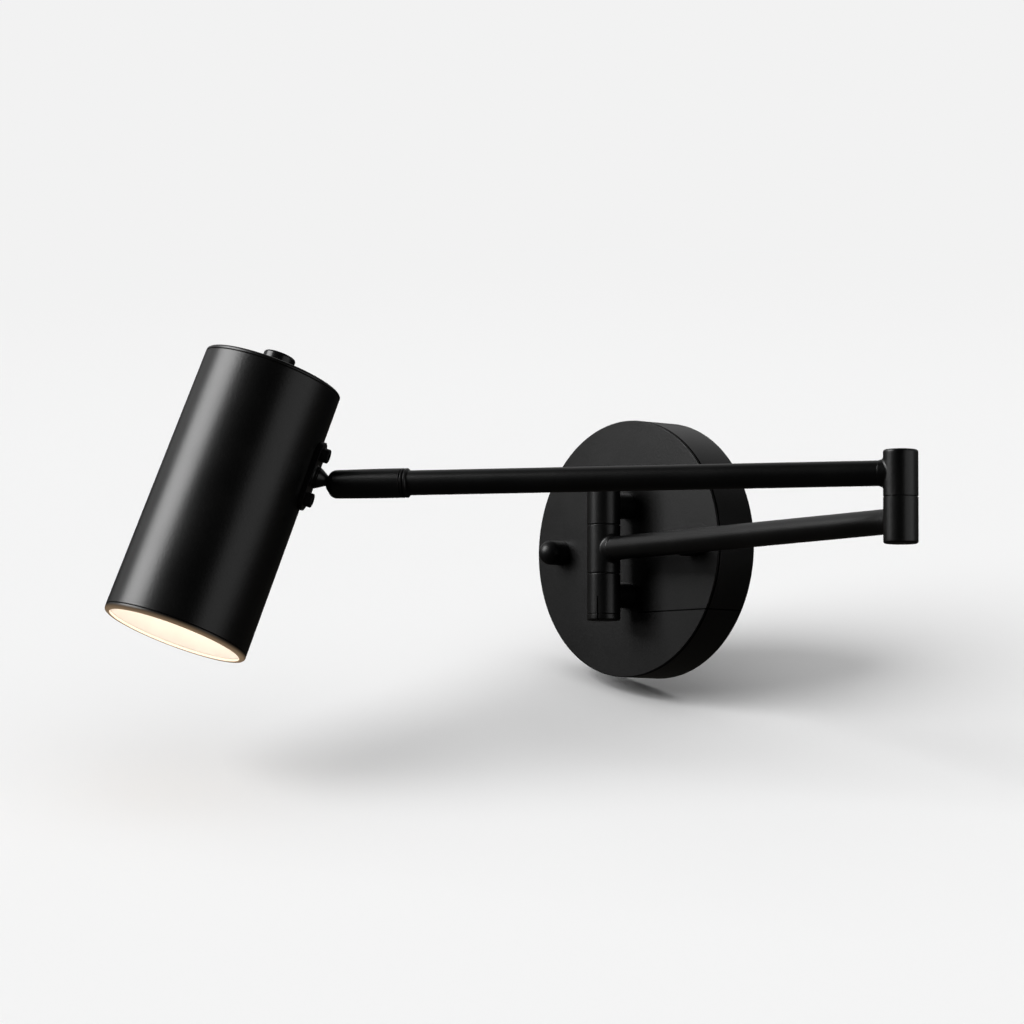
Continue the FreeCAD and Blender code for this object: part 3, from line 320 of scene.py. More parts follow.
@dataclass(frozen=True)
class PowderCoat(Finish):
    """Black powder coat: fine grain in relief, slow mottling of its sheen, and paler edges that stand both for wear and
    for a painted highlight where edges catch light.
    """

    tone: tuple[float, float, float] = (0.0035, 0.0035, 0.0036)
    pale: tuple[float, float, float] = (0.0075, 0.0074, 0.0072)
    grain: float = 0.70
    relief: float = 0.062
    roughness: float = 0.35
    pit_width: float = 1.9
    mottle_width: float = 26.0
    scribe: Scribe | None = None

    def lay(self, shader: Shader) -> None:
        """Lay out the material's nodes.

        Args:
            shader: the material's tree.
        """
        where = shader.place()
        grain = shader.noise(where, self.grain, 3.0)
        pits = shader.noise(where, self.grain * self.pit_width, 2.0)
        mottle = shader.noise(where, self.mottle_width, 3.0)
        worn = shader.number("ShaderNodeAttribute", {"attribute_name": "edge"}, {}, "Fac")
        # paler edges: partly wear, partly a painted highlight along edges and fillets
        worn_and_highlit_edges = worn * pits.band(0.30, 0.62)
        colour = shader.mix(mottle.band(0.25, 0.80) * 0.6 + worn_and_highlit_edges * 0.4, tint(self.tone), tint(self.pale))
        roughness = self.roughness + (mottle - 0.5) * 0.07 + (pits - 0.5) * 0.16 - worn_and_highlit_edges * 0.06
        height = grain * 0.4 + pits * 0.6
        # painted shade: the scribe's band is painted dark, with no relief under it
        groove = None
        if self.scribe:
            east, inward, up = shader.axes(where)
            held, along = (east, 0.0 - up) if self.scribe.upright else (up, east)
            reach = self.scribe.width * METRE
            near = 1.0 - (held - self.scribe.place * METRE).size().band(reach * 0.3, reach)
            groove = near * (along > self.scribe.start * METRE) * (inward < -self.scribe.front * METRE)
        normal = shader.bump(height, self.relief, 0.85)
        shader.surface({
            "Base Color": colour, "Roughness": roughness, "Normal": normal, "IOR": COAT_IOR,
            **self.extra(shader, colour),
        }, groove)

    def extra(self, shader: Shader, colour: bpy.types.NodeSocket) -> dict[str, Any]:
        """More inputs for the shader; none for the plain coat."""
        return {}


@dataclass(frozen=True)
class MouthCoat(PowderCoat):
    """The same coat round the mouth, left white where the light leaves, with a painted warm glow of the disc's light
    beside it.
    """

    white: tuple[float, float, float] = (0.86, 0.84, 0.80)
    # painted light: colour, width and climb of the emission glow that stands for the disc's light falling on the lip
    painted_glow_colour: tuple[float, float, float] = (0.34, 0.235, 0.145)
    mouth: float = 33.0
    painted_glow_width: float = 1.5
    painted_glow_climb: float = 2.4
    frame: Matrix = field(default_factory=Matrix, compare=False)

    def extra(self, shader: Shader, colour: bpy.types.NodeSocket) -> dict[str, Any]:
        """White inner face, and the painted warm glow that stands for the disc's light on the lip and fades away from
        it.

        Args:
            shader: the material's tree.
            colour: the coat's colour.

        Returns:
            More inputs for the shader.
        """
        _, spread, rise = shader.about(self.frame)
        bare = 1.0 - spread.band((self.mouth + 0.02) * METRE, (self.mouth + 0.12) * METRE)
        painted_glow_near = 1.0 - spread.band(self.mouth * METRE, (self.mouth + self.painted_glow_width) * METRE)
        # painted light: warm emission on the lip and up its inner side, standing for light from the lit disc
        glow = painted_glow_near.maths("MAXIMUM", painted_glow_near, (1.0 - rise.band(-0.4 * METRE, self.painted_glow_climb * METRE)) * 0.6)
        return {
            "Base Color": shader.mix(bare, colour, tint(self.white)),
            "Emission Color": shader.mix(glow, (0.0, 0.0, 0.0, 1.0), tint(self.painted_glow_colour)), "Emission Strength": 1.0,
        }


@dataclass(frozen=True)
class GlossEnamel(Finish):
    """Smooth gloss black with faint orange peel and a few fine rubs."""

    tone: tuple[float, float, float] = (0.006, 0.006, 0.0065)
    roughness: float = 0.36

    def lay(self, shader: Shader) -> None:
        """Lay out the material's nodes.

        Args:
            shader: the material's tree.
        """
        where = shader.place()
        peel = shader.noise(where, 2.2, 1.0)
        rubs = shader.noise(where, 0.8, 4.0)
        smears = shader.noise(where, 6.0, 3.0)
        colour = shader.mix(rubs.band(0.60, 0.80), tint(self.tone), tint(self.tone, 2.6))
        roughness = self.roughness + smears.band(0.40, 0.80) * 0.10 + rubs.band(0.58, 0.75) * 0.06
        shader.surface({
            "Base Color": colour, "Roughness": roughness, "Normal": shader.bump(peel, 0.012, 0.6),
            "IOR": ENAMEL_IOR,
        })


@dataclass(frozen=True)
class PlatedMetal(Finish):
    """Bare or plated metal with fine drawn lines, cloudy plating and dull spots."""

    tone: tuple[float, float, float] = (0.56, 0.57, 0.58)
    dull: tuple[float, float, float] = (0.36, 0.37, 0.38)
    roughness: float = 0.34
    stretch: tuple[float, float, float] = (0.12, 1.0, 1.0)

    def lay(self, shader: Shader) -> None:
        """Lay out the material's nodes.

        Args:
            shader: the material's tree.
        """
        where = shader.place()
        drawn = shader.node("ShaderNodeMapping", {}, {0: where, "Scale": self.stretch}).outputs[0]
        lines = shader.noise(drawn, 0.35, 4.0)
        clouds = shader.noise(where, 9.0, 3.0)
        spots = shader.noise(where, 1.6, 2.0).band(0.62, 0.74)
        colour = shader.mix(clouds.band(0.30, 0.75) * 0.7 + spots * 0.3, tint(self.tone), tint(self.dull))
        roughness = self.roughness + (lines - 0.5) * 0.20 + clouds * 0.08 + spots * 0.12
        shader.surface({
            "Base Color": colour, "Roughness": roughness, "Metallic": 1.0,
            "Normal": shader.bump(lines, 0.006, 0.5),
        })


@dataclass(frozen=True)
class MouldedPlastic(Finish):
    """Moulded plastic with a spark-eroded texture and a slight shift of tone."""

    tone: tuple[float, float, float] = (0.8, 0.8, 0.78)
    shade_factor: float = 0.86
    roughness: float = 0.5
    texture: float = 0.5
    relief: float = 0.02

    def lay(self, shader: Shader) -> None:
        """Lay out the material's nodes.

        Args:
            shader: the material's tree.
        """
        where = shader.place()
        spark = shader.noise(where, self.texture, 3.0)
        drift = shader.noise(where, 14.0, 2.0)
        specks = shader.noise(where, 0.9, 1.0).band(0.70, 0.78)
        colour = shader.mix(drift.band(0.3, 0.8) + specks * 0.3, tint(self.tone), tint(self.tone, self.shade_factor))
        roughness = self.roughness + (spark - 0.5) * 0.12 + drift * 0.05
        shader.surface({
            "Base Color": colour, "Roughness": roughness, "Normal": shader.bump(spark, self.relief, 0.6),
            "IOR": PLASTIC_IOR,
        })


@dataclass(frozen=True)
class CableJacket(Finish):
    """Soft cable jacket with talc in its grain."""

    tone: tuple[float, float, float] = (0.022, 0.022, 0.023)

    def lay(self, shader: Shader) -> None:
        """Lay out the material's nodes.

        Args:
            shader: the material's tree.
        """
        where = shader.place()
        grain = shader.noise(where, 0.4, 3.0)
        talc = shader.noise(where, 5.0, 4.0).band(0.50, 0.85)
        colour = shader.mix(talc * 0.5, tint(self.tone), (0.09, 0.088, 0.085, 1.0))
        shader.surface({
            "Base Color": colour, "Roughness": 0.55 + talc * 0.2 + (grain - 0.5) * 0.1,
            "Normal": shader.bump(grain, 0.015, 0.5),
        })


@dataclass(frozen=True)
class SpunAluminium(Finish):
    """Satin aluminium with fine rings about an axis of its own."""

    tone: tuple[float, float, float] = (0.80, 0.80, 0.79)
    roughness: float = 0.36

    def lay(self, shader: Shader) -> None:
        """Lay out the material's nodes.

        Args:
            shader: the material's tree.
        """
        where = shader.place()
        streaks = shader.node("ShaderNodeMapping", {}, {0: where, "Scale": (1.0, 1.0, 0.06)}).outputs[0]
        lines = shader.noise(streaks, 0.5, 3.0)
        haze = shader.noise(where, 11.0, 3.0)
        colour = shader.mix(haze.band(0.3, 0.8), tint(self.tone), tint(self.tone, 0.78))
        shader.surface({
            "Base Color": colour, "Roughness": self.roughness + (lines - 0.5) * 0.18 + haze * 0.06,
            "Metallic": 1.0, "Normal": shader.bump(lines, 0.004, 0.5),
        })


@dataclass(frozen=True)
class LitDisc(Finish):
    """Frosted disc lit from behind: warm white, a touch deeper towards its edge."""

    centre: tuple[float, float, float] = (1.0, 0.90, 0.82)
    edge: tuple[float, float, float] = (1.0, 0.80, 0.60)
    strength: float = 2.75
    radius: float = 33.0
    axis: Matrix = field(default_factory=Matrix, compare=False)

    def lay(self, shader: Shader) -> None:
        """Lay out the material's nodes.

        Args:
            shader: the material's tree.
        """
        where, spread, _ = shader.about(self.axis)
        rim = (spread / (self.radius * METRE)).band(0.55, 1.0)
        frost = shader.noise(where, 0.5, 3.0)
        glow = shader.mix(rim, tint(self.centre), tint(self.edge))
        shader.surface({
            "Base Color": (0.9, 0.88, 0.84, 1.0), "Roughness": 0.45 + (frost - 0.5) * 0.1,
            "Emission Color": glow, "Emission Strength": self.strength,
            "Normal": shader.bump(frost, 0.02, 0.5),
        })


COAT = PowderCoat("powder_coat")
FINE_COAT = PowderCoat("powder_coat_on_castings", grain=0.60, relief=0.050)
NUT_GLOSS = GlossEnamel("enamel_on_nuts")
BUTTON_GLOSS = GlossEnamel("polished_button", tone=(0.007, 0.007, 0.0075), roughness=0.22)
BLACK_SCREW = PowderCoat("black_oxide", tone=(0.014, 0.014, 0.015), roughness=0.40, grain=0.3, relief=0.008)
ZINC = PlatedMetal("zinc_plating")
BRASS = PlatedMetal("bare_brass", tone=(0.72, 0.53, 0.24), dull=(0.46, 0.32, 0.14), roughness=0.30)
WIRE_STEEL = PlatedMetal("drawn_wire", tone=(0.50, 0.50, 0.51), roughness=0.28)
DRIVER_SHELL = MouldedPlastic("driver_shell", tone=(0.78, 0.78, 0.76), roughness=0.48)
TERMINAL_SHELL = MouldedPlastic("terminal_shell", tone=(0.72, 0.72, 0.67), roughness=0.42)
WASHER_NYLON = MouldedPlastic("washer_nylon", tone=(0.012, 0.012, 0.012), shade_factor=1.8, roughness=0.6)
CUP_NYLON = MouldedPlastic("cup_nylon", tone=(0.74, 0.71, 0.63), roughness=0.45)
WHITE_RING = MouldedPlastic("white_ring", tone=(0.86, 0.85, 0.82), shade_factor=0.95, roughness=0.5)
SWITCH_SHELL = MouldedPlastic("switch_shell", tone=(0.02, 0.02, 0.02), shade_factor=1.6, roughness=0.5)
BOARD_MASK = MouldedPlastic("board_mask", tone=(0.82, 0.82, 0.80), roughness=0.35, relief=0.006)
JACKET = CableJacket("cable_jacket_rubber")
REFLECTOR_METAL = SpunAluminium("spun_reflector")
SINK_METAL = SpunAluminium("extruded_sink", tone=(0.55, 0.56, 0.57), roughness=0.42)


# ---------------------------------------------------------------- turned and lofted meshes
@dataclass(frozen=True)
class Corner:
    """Corner of a turned outline, with the fillet on it."""

    r: float
    z: float
    fillet: float = 0.0


def arc(centre: tuple[float, float], radius: float, start: float, end: float, steps: int = 12) -> list[Corner]:
    """Corners along an arc of an outline.

    Args:
        centre: the arc's centre, radius first.
        radius: the arc's radius.
        start: first angle, from the outward direction towards up.
        end: last angle.
        steps: number of chords.

    Returns:
        The corners in order.
    """
    corners = []
    for step in range(steps + 1):
        angle = math.radians(start + (end - start) * step / steps)
        corners.append(Corner(centre[0] + radius * math.cos(angle), centre[1] + radius * math.sin(angle)))
    return corners


def polar(radius: float, angle: float, height: float = 0.0) -> Vector:
    """Point about Z."""
    return Vector((radius * math.cos(angle), radius * math.sin(angle), height))


def rounded(corners: Sequence[Corner], closed: bool, steps: int = 5) -> list[tuple[float, float, float]]:
    """Outline with its fillets drawn.

    Args:
        corners: the outline's corners.
        closed: whether the last corner joins the first.
        steps: chords in each fillet.

    Returns:
        Radius, height and edge mark of each point; the mark is 1 on a fillet.
    """
    points: list[tuple[float, float, float]] = []
    count = len(corners)
    for index, corner in enumerate(corners):
        at_end = index in (0, count - 1) and not closed
        if corner.fillet <= 0.0 or at_end:
            points.append((corner.r, corner.z, 0.0))
            continue
        here = Vector((corner.r, corner.z))
        before, after = corners[index - 1], corners[(index + 1) % count]
        back = Vector((before.r, before.z)) - here
        ahead = Vector((after.r, after.z)) - here
        half = back.angle(ahead) / 2.0
        room = FILLET_ROOM * corner.fillet
        reach = min(corner.fillet / math.tan(half), back.length * room / (corner.fillet + before.fillet),
                    ahead.length * room / (corner.fillet + after.fillet))
        radius = reach * math.tan(half)
        middle = here + (back.normalized() + ahead.normalized()).normalized() * (radius / math.sin(half))
        start, end = here + back.normalized() * reach - middle, here + ahead.normalized() * reach - middle
        sweep = start.angle_signed(end)
        for step in range(steps + 1):
            angle = -sweep * step / steps
            cosine, sine = math.cos(angle), math.sin(angle)
            turned = Vector((start.x * cosine - start.y * sine, start.x * sine + start.y * cosine))
            points.append((middle.x + turned.x, middle.y + turned.y, 1.0 if 0 < step < steps else 0.5))
    return points


class Shape:
    """A mesh in the making, in millimetres."""

    def __init__(self) -> None:
        """Start empty, with a mark for edges, which the coat paints paler as wear and as a painted edge highlight."""
        self.bm = bmesh.new()
        self.edge = self.bm.verts.layers.float.new("edge")

    def ring(self, points: Sequence[Vector], mark: float = 0.0) -> list[bmesh.types.BMVert]:
        """Add a ring of vertices.

        Args:
            points: where they are.
            mark: edge mark from 0 to 1, painted paler in the coat as wear and as highlight.

        Returns:
            The vertices.
        """
        made = []
        for point in points:
            vertex = self.bm.verts.new(point)
            vertex[self.edge] = mark
            made.append(vertex)
        return made

    def bridge(self, first: list[bmesh.types.BMVert], second: list[bmesh.types.BMVert], wrap: bool = True) -> None:
        """Fill between two rings of equal count, or a ring and a pole.

        Args:
            first: one ring.
            second: the other.
            wrap: whether they close on themselves.
        """
        count = max(len(first), len(second))
        for index in range(count if wrap else count - 1):
            after = (index + 1) % count
            corners = [
                first[index % len(first)], first[after % len(first)],
                second[after % len(second)], second[index % len(second)],
            ]
            face = list(dict.fromkeys(corners))
            if len(face) > 2:
                self.bm.faces.new(face)

    def extend(
        self, ring: list[bmesh.types.BMVert], points: Sequence[Vector], mark: float = 0.0,
    ) -> list[bmesh.types.BMVert]:
        """Add a ring of vertices and fill up to it.

        Args:
            ring: the ring to start from.
            points: where the new ring's vertices are.
            mark: edge mark from 0 to 1, painted paler in the coat as wear and as highlight.

        Returns:
            The new ring.
        """
        after = self.ring(points, mark)
        self.bridge(ring, after)
        return after

    def turn(self, corners: Sequence[Corner], closed: bool = False, segments: int = 96) -> "Shape":
        """Add a body turned about Z.

        Args:
            corners: its outline; open outlines start and end on the axis.
            closed: whether the outline closes on itself.
            segments: sides of the circle.

        Returns:
            This shape.
        """
        rings = []
        for radius, height, mark in rounded(corners, closed):
            if radius < ON_AXIS:
                rings.append(self.ring([Vector((0.0, 0.0, height))], mark))
                continue
            rings.append(self.ring([polar(radius, math.tau * n / segments, height) for n in range(segments)], mark))
        for first, second in zip(rings, rings[1:]):
            self.bridge(first, second)
        if closed:
            self.bridge(rings[-1], rings[0])
        return self

    def loft(self, rings: Sequence[tuple[Sequence[Vector], float]]) -> "Shape":
        """Add a body through rings of equal count, its first and last of one point each.

        Args:
            rings: points and edge mark of each ring.

        Returns:
            This shape.
        """
        made = [self.ring(points, mark) for points, mark in rings]
        for first, second in zip(made, made[1:]):
            self.bridge(first, second)
        return self

    def moved(self, matrix: Matrix) -> "Shape":
        """Move everything so far."""
        bmesh.ops.transform(self.bm, matrix=matrix, verts=self.bm.verts)
        return self

    def add(self, other: "Shape", matrix: Matrix | None = None) -> "Shape":
        """Take in another shape as a separate shell.

        Args:
            other: the shape, used up.
            matrix: where it goes.

        Returns:
            This shape.
        """
        if matrix:
            other.moved(matrix)
        passing = bpy.data.meshes.new("passing")
        bmesh.ops.recalc_face_normals(other.bm, faces=other.bm.faces)
        other.bm.to_mesh(passing)
        other.bm.free()
        self.bm.from_mesh(passing)
        bpy.data.meshes.remove(passing)
        return self

    def mesh(self, name: str, place: Matrix) -> bpy.types.Mesh:
        """Finished mesh in metres.

        Args:
            name: the mesh's name.
            place: where the shape goes in the light's frame, in millimetres.

        Returns:
            The mesh.
        """
        bmesh.ops.recalc_face_normals(self.bm, faces=self.bm.faces)
        for face in self.bm.faces:
            face.smooth = True
        made = bpy.data.meshes.new(name)
        self.bm.to_mesh(made)
        self.bm.free()
        made.transform(Matrix.Scale(METRE, 4) @ place)
        made.set_sharp_from_angle(angle=SMOOTH_LIMIT)
        return made


def bake(item: bpy.types.Object) -> None:
    """Turn an object's modifiers into its plain mesh.

    Args:
        item: the object.
    """
    bpy.context.view_layer.update()
    graph = bpy.context.evaluated_depsgraph_get()
    made = bpy.data.meshes.new_from_object(item.evaluated_get(graph), depsgraph=graph)
    item.modifiers.clear()
    used = item.data
    item.data = made
    bpy.data.meshes.remove(used)


@dataclass(frozen=True)
class Wear:
    """What a piece is: the node that it stands for, its body, slot and finish."""

    node: str
    body: Body
    slot: Slot
    finish: Finish

    @property
    def name(self) -> str:
        """The piece's own name."""
        return f"{self.node}_dressed"


def settle(mesh: bpy.types.Mesh, wear: Wear) -> bpy.types.Object:
    """Dress a mesh and let it ride on its body.

    Args:
        mesh: the mesh, in metres in the light's frame.
        wear: what it is.

    Returns:
        The finished piece.
    """
    item = bpy.data.objects.new(wear.name, mesh)
    bpy.context.scene.collection.objects.link(item)
    weighted = item.modifiers.new("even_shading", "WEIGHTED_NORMAL")
    weighted.keep_sharp = True
    weighted.weight = 80
    bake(item)
    item.data.name = wear.name
    item.data.materials.clear()
    item.data.materials.append(wear.finish.material())
    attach(item, wear.body.value)
    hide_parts(wear.node)
    LOG.info("piece %s: %d faces on %s", wear.name, len(item.data.polygons), wear.body.value)
    return item


def dress(shape: Shape, place: Matrix, wear: Wear) -> bpy.types.Object:
    """Make a shape into a finished piece; place is in millimetres."""
    return settle(shape.mesh(wear.name, place), wear)


def dress_nodes(finishes: dict[str, Finish]) -> None:
    """Give carried-over nodes their finishes.

    Args:
        finishes: what each node wears, by its name.
    """
    for name, finish in finishes.items():
        item = frame["nodes"][name]
        if not item.material_slots:
            item.data.materials.append(None)
        for entry in item.material_slots:
            entry.link = "OBJECT"
            entry.material = finish.material()
        LOG.info("node %s: %s", name, finish.name)


# ---------------------------------------------------------------- repeated pieces
class GrowingTree(Tree):
    """Geometry tree with named inputs that makes one piece's mesh, in millimetres."""

    def __init__(self, name: str, inputs: dict[str, str]) -> None:
        """Give the tree its sockets.

        Args:
            name: the tree's name.
            inputs: kind of each input's socket, by the input's name.
        """
        super().__init__(bpy.data.node_groups.new(name, "GeometryNodeTree"))
        interface = self.tree.interface
        self.sockets = {
            label: interface.new_socket(label, in_out="INPUT", socket_type=f"NodeSocket{kind}").identifier
            for label, kind in {**inputs, "Finish": "Material"}.items()
        }
        interface.new_socket("Geometry", in_out="OUTPUT", socket_type="NodeSocketGeometry")
        self.given = self.node("NodeGroupInput", {}, {}).outputs

    def end(self, geometry: bpy.types.NodeSocket) -> None:
        """Realize the geometry, give it its finish and lead it out.

        Args:
            geometry: what the tree has grown.
        """
        solid = self.node("GeometryNodeRealizeInstances", {}, {0: geometry}).outputs[0]
        sockets = {"Geometry": solid, "Material": self.given["Finish"]}
        self.node("NodeGroupOutput", {}, {0: self.node("GeometryNodeSetMaterial", {}, sockets).outputs[0]})

    def grow(self, given: dict[str, Any], place: Matrix, wear: Wear) -> bpy.types.Mesh:
        """Mesh that the tree makes.

        Args:
            given: what its inputs get, by name.
            place: where the mesh goes, in millimetres.
            wear: what the piece is.

        Returns:
            The baked mesh, in metres.
        """
        host = bpy.data.objects.new("growing", bpy.data.meshes.new("growing"))
        bpy.context.scene.collection.objects.link(host)
        modifier = host.modifiers.new("grow", "NODES")
        modifier.node_group = self.tree
        for name, entry in {**given, "Finish": wear.finish.material()}.items():
            modifier[self.sockets[name]] = entry
        bake(host)
        mesh = host.data
        mesh.transform(Matrix.Scale(METRE, 4) @ place)
        bpy.data.objects.remove(host)
        return mesh


class FastenerGrid(GrowingTree):
    """Geometry tree that repeats one fastener in rows and columns about the origin."""

    def __init__(self) -> None:
        """Lay out rows of columns, put the fastener on each and join the result."""
        super().__init__("fastener_grid", {
            "Fastener": "Object", "Columns": "Int", "Column spacing": "Float", "Rows": "Int", "Row spacing": "Float",
        })
        rows, columns = self.line("Rows", "Row spacing", "Y"), self.line("Columns", "Column spacing", "X")
        lines = self.node("GeometryNodeInstanceOnPoints", {}, {"Points": rows, "Instance": columns}).outputs[0]
        points = self.node("GeometryNodeRealizeInstances", {}, {0: lines}).outputs[0]
        source = self.node("GeometryNodeObjectInfo", {}, {"Object": self.given["Fastener"]}).outputs["Geometry"]
        self.end(self.node("GeometryNodeInstanceOnPoints", {}, {"Points": points, "Instance": source}).outputs[0])

    def line(self, count: str, spacing: str, axis: str) -> bpy.types.NodeSocket:
        """Centred line of points.

        Args:
            count: the input that holds the number of points.
            spacing: the input that holds their distance.
            axis: X or Y, the way the line lies.

        Returns:
            The line's geometry.
        """
        number, step = self.given[count], self.given[spacing]
        gaps = self.node("ShaderNodeMath", {"operation": "SUBTRACT"}, {0: number, 1: 1.0}).outputs[0]
        length = self.node("ShaderNodeMath", {"operation": "MULTIPLY"}, {0: gaps, 1: step}).outputs[0]
        start = self.node("ShaderNodeMath", {"operation": "MULTIPLY"}, {0: length, 1: -0.5}).outputs[0]
        offset = self.node("ShaderNodeCombineXYZ", {}, {axis: step}).outputs[0]
        begin = self.node("ShaderNodeCombineXYZ", {}, {axis: start}).outputs[0]
        sockets = {"Count": number, "Start Location": begin, "Offset": offset}
        return self.node("GeometryNodeMeshLine", {"mode": "OFFSET"}, sockets).outputs[0]

    def repeat(
        self, shape: Shape, place: Matrix, wear: Wear, columns: int, spacing: float, rows: int = 1, apart: float = 0.0,
    ) -> bpy.types.Object:
        """One piece made of a fastener repeated.

        Args:
            shape: the fastener, about its own seat.
            place: where the grid's centre goes, in millimetres.
            wear: what the piece is.
            columns: fasteners in a row.
            spacing: distance between columns.
            rows: number of rows.
            apart: distance between rows.

        Returns:
            The finished piece.
        """
        master = bpy.data.objects.new("fastener_master", shape.mesh("fastener_master", Matrix()))
        master.data.transform(Matrix.Scale(1.0 / METRE, 4))
        bpy.context.scene.collection.objects.link(master)
        mesh = self.grow({
            "Fastener": master, "Columns": columns, "Column spacing": spacing, "Rows": rows, "Row spacing": apart,
        }, place, wear)
        mesh.set_sharp_from_angle(angle=SMOOTH_LIMIT)
        bpy.data.objects.remove(master)
        return settle(mesh, wear)


class CoilTree(GrowingTree):
    """Geometry tree that winds a round wire into a coil about Z."""

    def __init__(self) -> None:
        """Sweep a circle along a spiral."""
        super().__init__("wire_coil", dict.fromkeys(("Coil radius", "Rise", "Turns", "Wire radius"), "Float"))
        radius = self.given["Coil radius"]
        spiral = self.node("GeometryNodeCurveSpiral", {}, {
            "Resolution": 40, "Rotations": self.given["Turns"], "Start Radius": radius, "End Radius": radius,
            "Height": self.given["Rise"],
        })
        sockets = {"Resolution": 16, "Radius": self.given["Wire radius"]}
        wire = self.node("GeometryNodeCurvePrimitiveCircle", {}, sockets)
        sockets = {"Curve": spiral.outputs[0], "Profile Curve": wire.outputs[0], "Fill Caps": True}
        self.end(self.node("GeometryNodeCurveToMesh", {}, sockets).outputs[0])

    def wind(
        self, radius: float, rise: float, turns: float, wire: float, place: Matrix, wear: Wear,
    ) -> bpy.types.Object:
        """One wound spring."""
        given = {"Coil radius": radius, "Rise": rise, "Turns": turns, "Wire radius": wire}
        return settle(self.grow(given, place, wear), wear)


# ---------------------------------------------------------------- layout
def turned(axis: str, degrees: float) -> Matrix:
    """Turn about an axis."""
    return Matrix.Rotation(math.radians(degrees), 4, axis)


def shifted(x: float = 0.0, y: float = 0.0, z: float = 0.0) -> Matrix:
    """Move by X, Y and Z."""
    return Matrix.Translation((x, y, z))


@dataclass(frozen=True)
class Layout:
    """Where the light's parts stand in its own frame, and the sizes that several of them share."""

    face: float = 25.5
    arm_drop: float = 1.1
    pivot_offset: float = 16.25
    barrel_radius: float = 8.4
    root_height: float = 24.2
    lower_arm_length: float = 243.8
    lower_arm_angle: float = 9.7
    fold_angle: float = 40.9
    elbow_pitch: float = 22.2
    ball_distance: float = 275.0
    tube_stop: float = 15.0
    sleeve_bore: float = 6.01
    plug_radius: float = 5.45
    plug_height: float = 1.5
    washer_bore: float = 4.3
    washer_inset: float = 0.6
    plate_back: float = 24.25
    boss_height: float = 6.3
    driver_level: float = 43.02
    driver_screws_apart: float = 68.0
    terminal_level: float = -42.0
    ball_swivel: float = 71.5
    ball_tilt: float = 19.6
    head_spin: float = -60.2
    bracket_reach: float = 13.6
    bracket_length: float = 35.0
    head_top_radius: float = 34.35
    head_bottom_radius: float = 35.85
    head_length: float = 132.7
    head_above_bracket: float = 40.5
    bezel_height: float = 2.6
    lip_height: float = 1.4
    lid_height: float = 2.0
    bushing_radius: float = 5.5

    def wall(self) -> Matrix:
        """Wall frame: Z out of the wall."""
        return turned("X", 90.0)

    def pivot(self) -> Matrix:
        """Wall pivot, at the root knuckle's middle."""
        return shifted(0.0, -(self.face + self.pivot_offset), -self.arm_drop)

    def lower(self) -> Matrix:
        """Lower arm, X along it."""
        return self.pivot() @ turned("Z", -self.lower_arm_angle)

    def elbow(self) -> Matrix:
        """Elbow, at its lower knuckle's middle."""
        return self.lower() @ shifted(self.lower_arm_length)

    def upper(self) -> Matrix:
        """Upper arm, X along it from the elbow."""
        return self.elbow() @ shifted(z=self.elbow_pitch) @ turned("Z", 180.0 + self.fold_angle)

    def ball(self) -> Matrix:
        """Ball's centre, X along the upper arm."""
        return self.upper() @ shifted(self.ball_distance)

    def head(self) -> Matrix:
        """Head's frame at the ball, X into the head, Z up along it."""
        return self.ball() @ turned("X", self.ball_swivel) @ turned("Z", self.ball_tilt) @ turned("X", self.head_spin)

    def axis_reach(self) -> float:
        """Distance from the ball to the head's own axis."""
        taper = (self.head_bottom_radius - self.head_top_radius) / self.head_length
        return self.bracket_reach + self.head_top_radius + taper * (self.head_above_bracket + self.bracket_length / 2.0)

    def mouth(self) -> Matrix:
        """Centre of the head's mouth, Z up into the head."""
        drop = self.head_length - self.head_above_bracket + self.bezel_height
        return self.head() @ shifted(self.axis_reach(), 0.0, -drop)

    def lid(self) -> Matrix:
        """Top of the head's lid."""
        return self.mouth() @ shifted(z=self.bezel_height + self.head_length + self.lid_height)


LAY = Layout()
ALONG_X = turned("Y", 90.0)


